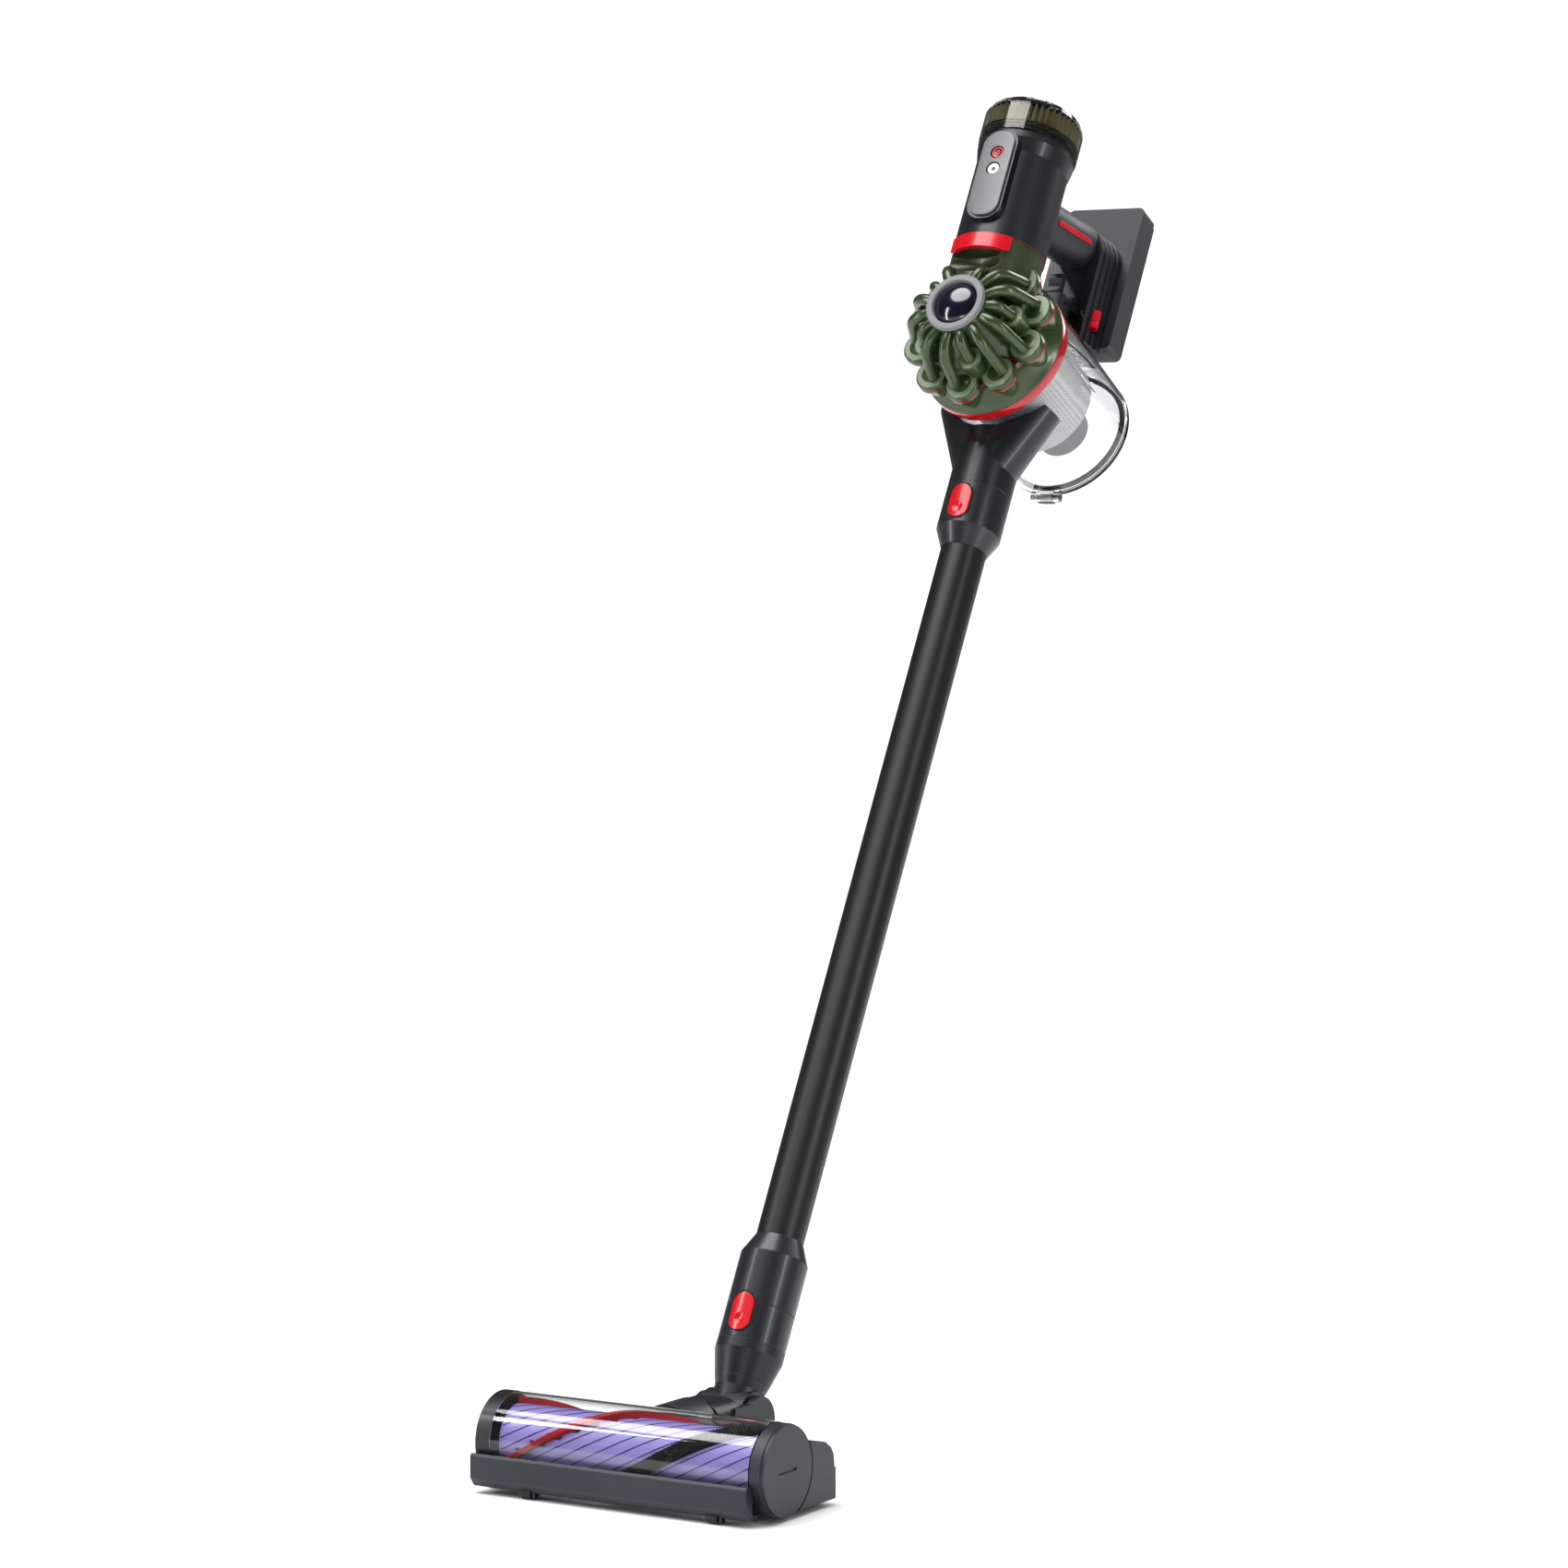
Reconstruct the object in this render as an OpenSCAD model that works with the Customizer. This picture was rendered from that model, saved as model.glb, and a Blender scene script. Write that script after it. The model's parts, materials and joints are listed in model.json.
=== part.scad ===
// Cordless stick vacuum cleaner, held by its grip, with the floor head flat on the floor.
// Row frame: origin in the middle of the hand grip, +X to the right end of the head,
// -Y forwards, +Z up. The wand frame has z up the wand and y backwards from it, with its
// origin on the knuckle's pivot. The head frame has y = 0 on the brush axis and z = 0 on the floor.

/* [Stance] */
// Lean of the wand back from upright, degrees
lean = 28.58; // [10:0.01:60]
// Height of the grip's middle up the wand from the knuckle
grip_up = 1052; // [900:1:1250]
// Distance of the grip's middle behind the wand's axis
grip_back = 12; // [0:1:40]

/* [Wand] */
// Outer radius of the wand's tube
tube_r = 18.8; // [16:0.1:22]
// Wall of the wand's tube
tube_wall = 1.2; // [0.8:0.1:2.5]
// Outer radius of the cuffs at both ends of the wand
cuff_r = 26.6; // [25:0.1:31]
// Height of the lower cuff's foot above the knuckle
cuff_foot = 58.5; // [52:0.5:70]
// Length of the lower cuff with its chamfer
cuff_len = 86.5; // [76:0.5:110]
// Length of the chamfer where a cuff meets the tube
cuff_chamfer = 16; // [8:1:22]
// Length of the upper cuff
top_cuff_len = 53; // [48:1:75]
// Length of a cuff's red release button
button_len = 30; // [24:1:34]
// Width of a cuff's red release button
button_w = 18; // [12:1:22]

/* [Cyclone and bin] */
// Radius of the red ring between cyclone pack and bin
ring_r = 63.2; // [56:0.1:74]
// Radius of the bin's door end
bin_end_r = 58.4; // [52:0.1:66]
// Length of the clear bin from the red ring to its door
bin_len = 136; // [112:1:164]
// Wall of the clear bin
bin_wall = 2.6; // [1.6:0.1:4]
// Distance of the red ring's front in front of the wand's axis
ring_front = 37.6; // [30:0.1:48]
// Number of upper cyclones
upper_count = 5; // [4:1:6]
// Number of lower cyclones
lower_count = 10; // [8:1:10]
// Radius of the hub ring in the middle of the pack
hub_r = 26.2; // [22:0.1:29]
// Height of the hub's face above the red ring
hub_height = 74; // [66:1:84]
// Radius of the grey shroud in the bin
shroud_r = 47; // [40:0.5:50]

/* [Motor housing] */
// Outer radius of the motor housing
housing_r = 38.2; // [34:0.1:44]
// Distance of the motor's axis in front of the wand's axis
motor_front = 64.4; // [60:0.1:72]
// Length of the motor housing
housing_len = 98; // [90:1:120]
// Outer radius of the clear filter cap
cap_r = 41.7; // [38:0.1:48]
// Height of the clear filter cap
cap_len = 32; // [26:1:44]
// Wall of the housing
housing_wall = 2.4; // [1.6:0.1:3.5]

/* [Handle and battery] */
// Half of the grip's width
grip_half_w = 18.5; // [15:0.5:21]
// Half of the grip's height
grip_half_h = 21.5; // [18:0.5:24]
// Upward tilt of the grip towards the back, degrees
grip_tilt = 15; // [8:1:20]
// Height of the battery's slab
battery_h = 138; // [120:1:165]
// Width of the battery's slab
battery_w = 72; // [71:1:90]
// Thickness of the battery's slab
battery_t = 31; // [26:1:38]
// Distance of the slab's inner face behind the wand's axis
battery_back = 80; // [76:1:96]
// Width of the dark bracket at the slab
bracket_w = 56; // [48:1:62]

/* [Floor head] */
// Overall width of the head
head_w = 250; // [212:1:300]
// Radius of the brush chamber's clear window
window_r = 34.5; // [33:0.1:40]
// Wall of the clear window
window_wall = 1.8; // [1.2:0.1:2.5]
// Height of the brush axis over the floor
brush_z = 36.5; // [36:0.1:44]
// Radius of the brush's core
brush_r = 26; // [20:0.1:28]
// Radius over the bristles' tips
bristle_r = 32; // [29:0.1:32.2]
// Distance from the brush axis back to the head's rear
head_rear = 67; // [60:0.5:80]
// Distance from the brush axis back to the knuckle's pivot
pivot_back = 123; // [108:1:148]
// Height of the knuckle's pivot over the floor
pivot_z = 40; // [38:0.5:48]

/* [Fits] */
// Radial clearance of a running fit
run_gap = 0.06; // [0.03:0.01:0.1]
// Gap between parts that move past each other
part_gap = 0.5; // [0.3:0.05:0.8]

/* [Hidden] */
$fn = 96;

// Thickness that a cutter passes beyond what it cuts
over = 1;

// Wand frame heights, z up the wand
groove_up = cuff_foot + 28.5;
pack_up = grip_up - 139.5;
housing_foot = pack_up + 70.5;
housing_top = housing_foot + housing_len;
inlet_foot = pack_up - 117.5;
top_button_up = inlet_foot - 18.5;
bottom_button_up = cuff_foot + 19.5;
button_gap = 0.4;

// Cyclone pack and bin, measured along the pack's own axis from the wand's axis
ring_t = 4;
ring_back = ring_front - ring_t;
bin_front = ring_back - part_gap / 5;
bin_back = ring_back - bin_len;
door_t = 4;
hub_face = ring_front + hub_height;
plate_low = ring_front + 24;
plate_t = 4;
gasket_t = 1.6;
upper_orbit = 37;
lower_orbit = ring_r - 10.5;
lower_head_r = 13.5;
upper_head_r = 11;
finger_r = 3.6;
manifold_top = 24 + plate_t + gasket_t + 0.8;
skirt_r = shroud_r - 2;
cone_foot_r = 22.9;
shroud_foot = -34;
skirt_foot = -56;
door_hinge_y = bin_end_r + 4;
pin_r = 2;

// Motor housing
mouth_r = cap_r - 1.2;
collar_len = 8;
motor_r = 24;
motor_len = 50;
motor_up = housing_foot + 26;
shaft_r = 2.5;
panel_proud = 5;
panel_front = motor_front + housing_r + panel_proud;
panel_len = 84;
panel_w = 32;
panel_up = housing_foot + 53;
key_r = 5.6;
power_up = panel_up + 20;
mode_up = panel_up + 4.5;
lever_travel = 5;

// Handle and battery
grip_front_end = 46;
grip_rear_end = 40;
bracket_top_up = grip_up + 6;
bracket_front = battery_back - 30;
arm_up = pack_up + 68;
arm_t = 22;
arm_front = 24;
trigger_pivot_back = 32;
trigger_pivot_up = arm_up + arm_t - 2;
trigger_len = 26;
trigger_pin_r = 2;
battery_foot = arm_up;
case_wall = 2.5;
cell_r = 9.1;
cell_len = 65;
cell_count = 6;
cell_pitch = 18.6;
latch_r = 5.2;
latch_x = bracket_w / 2 - 4;
latch_back = battery_back - 15;
latch_up = arm_up + 19;
socket_r = 3.2;
socket_up = 12.5;
socket_depth = 12;

// Neck and head
barrel_r = 23.5;
barrel_half = 19.5;
cheek_t = 6;
cheek_r = 20.5;
journal_r = 18.5;
airway_r = 16;
waist_up = 31;
waist_r = 21.5;
riser_r = 19.4;
pivot_pin_r = 6;
side_t = 12;
chamber_r = window_r - window_wall;
bearing_r = 5;
pulley_back = 50;
pulley_z = 22;
brush_pulley_r = 17.8;
motor_pulley_r = 7;
belt_t = 1.8;
belt_w = 6;
strip_steps = 16;
strip_turn = -240;
red_starts = [120, 0];
black_start = 240;
strip_len = head_w - 2 * side_t - 10;
head_motor_r = 11.5;
sole_z = 5;
sole_t = 3;
bumper_front = 41;
step_z = 28;
front_roller_r = 4.5;
rear_roller_r = 7;
front_roller_x = [-78, 84];
rear_roller_x = [-41, 41];
front_roller_y = -33.5;
rear_roller_y = 57;
roller_axle_r = 1.5;
roller_ear = 2.4;
socket_ring_r = 27;
socket_front = 35;
tube_w = 52;
tube_h = 46;
tube_end = pivot_back - barrel_r - 1.5;

// Places what is drawn in the wand frame
module in_wand() {
  rotate([-lean, 0, 0]) translate([0, -grip_back, -grip_up]) children();
}

// Places what is drawn along the cyclone pack's axis: z forwards, y up the wand
module on_pack() {
  in_wand() translate([0, 0, pack_up]) rotate([90, 0, 0]) children();
}

// Places what is drawn along the motor's axis, z up the wand
module on_motor() {
  in_wand() translate([0, -motor_front, 0]) children();
}

// Places what is drawn in the head frame
module in_head() {
  rotate([-lean, 0, 0]) translate([0, -grip_back, -grip_up])
    rotate([lean, 0, 0]) translate([0, -pivot_back, -pivot_z]) children();
}

// Cylinder along X from one x to another
module x_rod(r, from_x, to_x) {
  translate([from_x, 0, 0]) rotate([0, 90, 0]) cylinder(r = r, h = to_x - from_x);
}

// Tube along z
module pipe(r, bore, h) {
  difference() {
    cylinder(r = r, h = h);
    translate([0, 0, -over]) cylinder(r = bore, h = h + 2 * over);
  }
}

// Flat outline of a rounded rectangle
module round_rect(w, h, r) {
  square([w - 2 * r, h], center = true);
  square([w, h - 2 * r], center = true);
  for (sx = [-1, 1], sy = [-1, 1])
    translate([sx * (w / 2 - r), sy * (h / 2 - r)]) circle(r = r);
}

// Flat outline of a slot with round ends, its length along y
module slot_outline(w, len) {
  square([w, len - w], center = true);
  for (s = [-1, 1]) translate([0, s * (len - w) / 2]) circle(d = w);
}

// ---- Motor housing and filter ----

module motor_housing() {
  color("#2b2e33") difference() {
    union() {
      difference() {
        housing_outside();
        on_motor() translate([0, 0, housing_foot + 4])
          cylinder(r = housing_r - housing_wall, h = housing_len);
      }
      on_motor() translate([0, 0, housing_top - 8])
        pipe(housing_r - housing_wall + 0.1, housing_r - housing_wall - 3, 8 + collar_len);
    }
    panel_pocket();
    grip_cutter(0);
    for (s = [-1, 0, 1]) on_motor() rotate([0, 0, 180 + s * 32])
      translate([0, 20, housing_foot - over]) cylinder(r = 6, h = 6);
  }
}

// Outer shape of the housing, flared to the filter cap's mouth
module housing_outside() {
  on_motor() translate([0, 0, housing_foot]) cylinder(r = housing_r, h = housing_len - 18);
  on_motor() translate([0, 0, housing_top - 18]) cylinder(r1 = housing_r, r2 = mouth_r, h = 12);
  on_motor() translate([0, 0, housing_top - 6]) cylinder(r = mouth_r, h = 6);
}

// Opening in the housing's front that the panel's surround fills
module panel_pocket() {
  on_motor() translate([0, -housing_r + 6, panel_up]) rotate([90, 0, 0])
    linear_extrude(20) round_rect(panel_w - 6, panel_len - 6, 11);
}

module filter_cap() {
  color("#b9b6a8", 0.5) on_motor() translate([0, 0, housing_top + part_gap]) difference() {
    union() {
      cylinder(r = cap_r, h = cap_len - 6);
      translate([0, 0, cap_len - 6]) cylinder(r1 = cap_r, r2 = cap_r - 3, h = 6 - part_gap);
    }
    translate([0, 0, -over]) cylinder(r = cap_r - 2, h = cap_len - 3.5);
    for (k = [0:11]) rotate([0, 0, 30 * k + 15]) translate([cap_r - 12, 0, 0])
      translate([0, 0, cap_len - 8]) cylinder(r = 3, h = 12);
  }
}

module filter_element() {
  color("#e8e4cf") on_motor() translate([0, 0, housing_top + collar_len + 2 * part_gap]) union() {
    pipe(cap_r - 8.5, cap_r - 19, cap_len - collar_len - 5);
    translate([0, 0, cap_len - collar_len - 7]) cylinder(r = cap_r - 18, h = 2);
  }
}

module motor() {
  color("#8f9296") on_motor() difference() {
    translate([0, 0, motor_up]) cylinder(r = motor_r, h = motor_len);
    translate([0, 0, motor_up - over]) cylinder(r = shaft_r + run_gap, h = 16);
  }
}

module motor_mount() {
  color("#1b1b1b") on_motor() for (z = [motor_up + 6, motor_up + motor_len - 12])
    translate([0, 0, z]) pipe(housing_r - housing_wall, motor_r, 6);
}

module impeller() {
  color("#c3c6ca") on_motor() union() {
    translate([0, 0, motor_up - 14]) cylinder(r = shaft_r, h = 26);
    translate([0, 0, motor_up - 12]) cylinder(r1 = 9, r2 = 21, h = 9);
    for (k = [0:8]) rotate([0, 0, 40 * k]) translate([3, -0.6, motor_up - 13.5]) cube([17, 1.2, 9]);
  }
}

module panel_surround() {
  color("#0d0d0f") difference() {
    union() {
      difference() {
        on_motor() translate([0, -housing_r + 6, panel_up]) rotate([90, 0, 0])
          linear_extrude(panel_proud + 5) round_rect(panel_w, panel_len, 14);
        housing_outside();
      }
      difference() {
        on_motor() translate([0, -housing_r + 6, panel_up]) rotate([90, 0, 0])
          linear_extrude(panel_proud + 3) round_rect(panel_w - 6, panel_len - 6, 11);
        on_motor() translate([0, 0, housing_foot])
          cylinder(r = housing_r - housing_wall, h = housing_len);
      }
    }
    panel_recess();
    key_bores();
  }
}

module panel_recess() {
  on_motor() translate([0, -(panel_front - motor_front) + 2.4, panel_up]) rotate([90, 0, 0])
    linear_extrude(10) round_rect(panel_w - 5, panel_len - 5, 12);
}

// Wells that the two keys travel in
module key_bores() {
  for (z = [power_up, mode_up]) on_motor() translate([0, 0, z]) rotate([90, 0, 0])
    cylinder(r = key_r + button_gap, h = housing_r + 20);
}

module panel_cover() {
  color("#9b9da0") difference() {
    on_motor() translate([0, -(panel_front - motor_front) + 2.4, panel_up]) rotate([90, 0, 0])
      linear_extrude(3.4) round_rect(panel_w - 5, panel_len - 5, 12);
    key_bores();
  }
}

module panel_key(z, ring) {
  on_motor() translate([0, -(panel_front - motor_front) + 4.5, z]) rotate([90, 0, 0]) difference() {
    cylinder(r = key_r, h = 6.2);
    translate([0, 0, 5.4]) pipe(ring + 0.8, ring - 0.8, 2);
  }
}

module power_button() {
  color("#d4173a") panel_key(power_up, 3);
}

module mode_button() {
  color("#f1f1f1") panel_key(mode_up, 2.2);
}

// ---- Bin release ----

module release_lever() {
  color("#e11313") on_motor() difference() {
    translate([0, 0, housing_foot - 14]) cylinder(r = housing_r + 2.4, h = 13);
    translate([0, 0, housing_foot - 16]) cylinder(r = housing_r - 2.2, h = 17);
    translate([-60, -housing_r * 0.78, housing_foot - 20]) cube([120, 120, 30]);
  }
}

module release_rod() {
  color("#c01a2e") on_pack() translate([-3, ring_r + 1.2, bin_back + 5])
    cube([6, 2.4, arm_front - bin_back - 12]);
}

// ---- Cyclone pack ----

module cyclone_saddle() {
  color("#3f5534") difference() {
    union() {
      on_pack() rotate_extrude() polygon([
        [ring_r - 22, ring_front], [ring_r - 0.3, ring_front], [ring_r - 9, ring_front + 14],
        [ring_r - 19, ring_front + 23], [ring_r - 22, ring_front + 23]
      ]);
      cowl();
      in_wand() translate([-20, -ring_front - 4.6, pack_up + 50]) cube([40, 4.4, 20]);
    }
    on_motor() translate([0, 0, housing_foot - 8]) cylinder(r = 12, h = 20);
  }
}

// Cowl that carries the housing over the cyclones, with a neck for the release band
module cowl() {
  difference() {
    on_motor() union() {
      translate([0, 0, housing_foot - 34]) cylinder(r = housing_r - 0.4, h = 19);
      translate([0, 0, housing_foot - 16]) cylinder(r = housing_r - 4 - lever_travel, h = 15.6);
    }
    in_wand() translate([-60, -ring_front - manifold_top - 0.5, housing_foot - 50]) cube([120, 120, 47.3]);
    on_pack() translate([0, 0, ring_front]) cylinder(r = lower_orbit + 1.5, h = 100);
  }
}

// Ring of equal copies round the pack's axis
module round_the_pack(count, orbit, turn) {
  for (k = [0:count - 1]) rotate([0, 0, turn + 360 * k / count]) translate([orbit, 0, 0]) children();
}

module lower_cyclones() {
  color("#445c38") on_pack() difference() {
    union() {
      round_the_pack(lower_count, lower_orbit, 18)
        translate([0, 0, ring_front + 5]) cylinder(r1 = 7, r2 = lower_head_r, h = plate_low - ring_front - 5);
      translate([0, 0, plate_low - 4]) cylinder(r = lower_orbit, h = 4);
    }
    translate([0, 0, ring_front]) cylinder(r = ring_r - 21.7, h = 40);
    translate([0, 0, ring_front]) cylinder(r1 = ring_r - 0.2, r2 = ring_r - 8.9, h = 14.01);
    translate([0, 0, ring_front + 14]) cylinder(r1 = ring_r - 8.9, r2 = ring_r - 18.9, h = 9.1);
  }
}

// Flat outline over the lower cyclones' heads, grown by a rim
module lobed_outline(rim) {
  circle(r = lower_orbit);
  round_the_pack(lower_count, lower_orbit, 18) circle(r = lower_head_r + rim);
}

module cyclone_gasket() {
  color("#d3281f") on_pack() translate([0, 0, plate_low]) linear_extrude(gasket_t) difference() {
    lobed_outline(0.6);
    circle(r = upper_orbit - 4);
  }
}

module cyclone_manifold() {
  color("#4d6640") on_pack() difference() {
    union() {
      translate([0, 0, plate_low + gasket_t]) linear_extrude(plate_t) lobed_outline(0);
      translate([0, 0, plate_low + gasket_t + plate_t - over])
        cylinder(r1 = upper_orbit - 4, r2 = hub_r, h = hub_face - plate_low - gasket_t - plate_t - 2);
      for (k = [0:lower_count - 1]) rotate([0, 0, 18 + 360 * k / lower_count])
        finger(hub_r - 2, hub_face - 8, lower_orbit - 4, plate_low + gasket_t + plate_t);
      for (k = [0:upper_count - 1]) rotate([0, 0, 360 * k / upper_count])
        finger(hub_r - 2, hub_face - 7, upper_orbit + 2, hub_face - 20);
    }
    translate([0, 0, plate_low]) cylinder(r = hub_r - 6, h = hub_height);
    round_the_pack(upper_count, upper_orbit, 0)
      translate([0, 0, plate_low + gasket_t - over]) cylinder(r = upper_head_r + 0.3, h = 24);
  }
}

// Duct from the hub down to a cyclone's head
module finger(from_r, from_z, to_r, to_z) {
  run = to_r - from_r;
  drop = from_z - to_z;
  translate([from_r, 0, from_z]) rotate([0, 90 + atan2(drop, run), 0])
    cylinder(r = finger_r, h = sqrt(run * run + drop * drop));
}

module upper_cyclones() {
  color("#5d7550") on_pack() round_the_pack(upper_count, upper_orbit, 0)
    translate([0, 0, plate_low + gasket_t]) cylinder(r1 = upper_head_r - 3, r2 = upper_head_r, h = 22);
}

module hub_ring() {
  color("#b5b7ba") on_pack() translate([0, 0, hub_face - 3]) pipe(hub_r, hub_r - 7, 3);
}

module prefilter() {
  color("#1a1c2e") on_pack() union() {
    translate([0, 0, hub_face - 2.5]) cylinder(r = hub_r - 7.5, h = 2.5);
    translate([0, 0, hub_face - 0.5]) cylinder(r1 = 15, r2 = 10, h = 3);
    translate([0, 0, ring_front + 6]) cylinder(r = 13, h = hub_height - 8);
  }
}

module bin_ring() {
  color("#d7141a") on_pack() translate([0, 0, ring_back]) pipe(ring_r, ring_r - 5, ring_t);
}

// ---- Bin ----

module clear_bin() {
  color("#dfe6e8", 0.3) difference() {
    on_pack() difference() {
      translate([0, 0, bin_back]) cylinder(r1 = bin_end_r, r2 = ring_r - 0.8, h = bin_front - bin_back);
      translate([0, 0, bin_back - over])
        cylinder(r1 = bin_end_r - bin_wall, r2 = ring_r - 0.8 - bin_wall, h = bin_front - bin_back + 2 * over);
    }
    in_wand() translate([0, 0, inlet_foot]) cylinder(r = airway_r - 1, h = 80);
  }
  color("#dfe6e8", 0.3) on_pack() for (x = [-13, 8])
    translate([x, -door_hinge_y - 4, bin_back - 0.2]) hinge_knuckle(5);
}

// One knuckle of the door's hinge, its length along x
module hinge_knuckle(len) {
  difference() {
    union() {
      translate([0, 4, 0]) x_rod(4, 0, len);
      translate([0, 4, 0]) cube([len, 6.4, 4]);
    }
    translate([0, 4, 0]) x_rod(pin_r + 0.01, -over, len + over);
  }
}

module bin_door() {
  color("#dfe6e8", 0.3) on_pack() union() {
    translate([0, 0, bin_back - part_gap - door_t]) cylinder(r = bin_end_r, h = door_t);
    difference() {
      union() {
        translate([-7.5, -door_hinge_y, bin_back - 0.2]) x_rod(4, 0, 15);
        translate([-7.5, -door_hinge_y - 4, bin_back - part_gap - door_t]) cube([15, 10, door_t]);
      }
      translate([0, -door_hinge_y, bin_back - 0.2]) x_rod(pin_r + run_gap, -8.5, 8.5);
    }
    translate([-6, bin_end_r - 1, bin_back - part_gap - door_t]) cube([12, 6, door_t]);
  }
}

module door_seal() {
  color("#33363a") on_pack() translate([0, 0, bin_back - part_gap])
    pipe(bin_end_r - bin_wall - 1.2, bin_end_r - bin_wall - 4.5, 3);
}

module door_pin() {
  color("#c9ccd0") on_pack() translate([0, -door_hinge_y, bin_back - 0.2]) x_rod(pin_r, -13, 13);
}

module shroud() {
  color("#dcdddd") on_pack() difference() {
    union() {
      translate([0, 0, skirt_foot]) cylinder(r = skirt_r, h = shroud_foot - skirt_foot);
      translate([0, 0, shroud_foot]) cylinder(r = shroud_r, h = ring_back - shroud_foot);
      translate([0, 0, ring_back - 3]) cylinder(r = ring_r - 5.2, h = 6);
    }
    translate([0, 0, skirt_foot - over]) cylinder(r = skirt_r - 2, h = bin_len);
  }
}

module dust_cone() {
  color("#25272b") on_pack() difference() {
    union() {
      translate([0, 0, bin_back + 2]) cylinder(r = cone_foot_r, h = 16);
      translate([0, 0, bin_back + 18])
        cylinder(r1 = cone_foot_r, r2 = skirt_r - 5, h = skirt_foot + 14 - bin_back - 18);
    }
    translate([0, 0, bin_back + 1]) cylinder(r = cone_foot_r - 2, h = 17.95);
    translate([0, 0, bin_back + 18.9])
      cylinder(r1 = cone_foot_r - 2, r2 = skirt_r - 7, h = skirt_foot + 14 - bin_back - 18);
  }
  color("#25272b") on_pack() translate([0, 0, skirt_foot + 6]) pipe(skirt_r - 2.1, skirt_r - 8, 5);
}

// ---- Wand ----

module wand_inlet() {
  color("#3a3d43") difference() {
    union() {
      in_wand() translate([0, 0, inlet_foot]) cylinder(r = cuff_r, h = 36);
      for (s = [-1, 1]) in_wand() translate([s * 4, 0, inlet_foot + 26])
        rotate([0, s * 30, 0]) cylinder(r1 = 24, r2 = 19, h = 66);
      in_wand() translate([0, 0, inlet_foot + 30]) cylinder(r = 22, h = 34);
    }
    bin_clearance();
    in_wand() translate([0, 0, inlet_foot - over]) cylinder(r = airway_r, h = 90);
  }
}

// Space that the bin and the red ring take, with a gap round them
module bin_clearance() {
  on_pack() translate([0, 0, bin_back - 20])
    cylinder(r1 = bin_end_r - 0.2, r2 = ring_r, h = bin_front - bin_back + 20);
  on_pack() translate([0, 0, ring_back - 0.4]) cylinder(r = ring_r + 0.5, h = 60);
}

// Cuff with its chamfer up, from z = 0 to its length
module cuff(len) {
  difference() {
    union() {
      cylinder(r = cuff_r, h = len - cuff_chamfer);
      translate([0, 0, len - cuff_chamfer]) cylinder(r1 = cuff_r, r2 = tube_r + 0.3, h = cuff_chamfer);
    }
    translate([0, 0, -over]) cylinder(r = tube_r, h = len + 2 * over);
  }
}

// Pocket for a cuff's button, open to the front
module button_pocket(z, gap) {
  translate([0, -tube_r - 1.2, z]) rotate([90, 0, 0])
    linear_extrude(20) slot_outline(button_w + 2 * gap, button_len + 2 * gap);
}

module top_cuff() {
  color("#3a3d43") in_wand() difference() {
    translate([0, 0, inlet_foot]) mirror([0, 0, 1]) cuff(top_cuff_len);
    button_pocket(top_button_up, button_gap);
  }
}

module bottom_cuff() {
  color("#3a3d43") in_wand() difference() {
    translate([0, 0, cuff_foot]) cuff(cuff_len);
    button_pocket(bottom_button_up, button_gap);
    translate([0, 0, groove_up]) pipe(cuff_r + 2, cuff_r - 0.5, 0.8);
  }
}

// A cuff's red button: an oval with a thumb dimple near its foot
module cuff_button(z) {
  in_wand() difference() {
    intersection() {
      translate([0, -tube_r - 4, z]) rotate([90, 0, 0])
        linear_extrude(20) slot_outline(button_w, button_len);
      cylinder(r = cuff_r + 1.2, h = 2 * grip_up);
    }
    translate([0, -cuff_r - 10.4, z - button_len / 5]) sphere(r = 10.5);
  }
}

module top_button() {
  color("#e0263a") cuff_button(top_button_up);
}

module bottom_button() {
  color("#e0263a") cuff_button(bottom_button_up);
}

module wand_tube() {
  color("#101012") in_wand() translate([0, 0, cuff_foot])
    pipe(tube_r, tube_r - tube_wall, inlet_foot - cuff_foot);
}

module wand_wiring() {
  color("#b87333") in_wand() translate([0, tube_r - tube_wall - 2.2, cuff_foot])
    cylinder(r = 2, h = inlet_foot - cuff_foot);
}

// ---- Handle, trigger and battery ----

// Solid of the grip, grown by a gap
module grip_cutter(gap) {
  in_wand() translate([0, grip_back, grip_up]) rotate([-90 + grip_tilt, 0, 0])
    translate([0, 0, -grip_front_end]) linear_extrude(grip_front_end + grip_rear_end) grip_outline(gap);
}

// Oval of the grip: three circles on a square
module grip_outline(gap) {
  side = grip_half_w + gap;
  rise = grip_half_h - grip_half_w;
  for (s = [-1, 1]) translate([0, s * rise]) circle(r = side);
  square([2 * side, 2 * rise], center = true);
}

module handle_grip() {
  color("#26282c") difference() {
    grip_cutter(0);
    on_motor() translate([0, 0, housing_foot]) cylinder(r = housing_r - housing_wall, h = housing_len);
    on_motor() translate([0, -60, housing_foot]) cube([200, 120, 400], center = true);
    stripe_cutter(0);
    bracket_body(0);
  }
}

// Two thin strips let into the grip's sides
module stripe_cutter(gap) {
  for (s = [-1, 1]) in_wand() translate([0, grip_back, grip_up]) rotate([grip_tilt, 0, 0])
    translate([s * (grip_half_w - 0.4), -2, 0]) cube([2.2, 58, 4.6], center = true);
}

module grip_stripes() {
  color("#c91437") stripe_cutter(0);
}

// Stepped pillar in front of the battery, wider towards it
module bracket_body(gap) {
  for (k = [0:3]) in_wand() translate([0, bracket_front + 7.5 * k, 0]) rotate([90, 0, 0])
    translate([0, 0, -7.5]) linear_extrude(7.5) pillar_outline(bracket_w / 2 - 4.5 + 1.5 * k);
}

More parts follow.
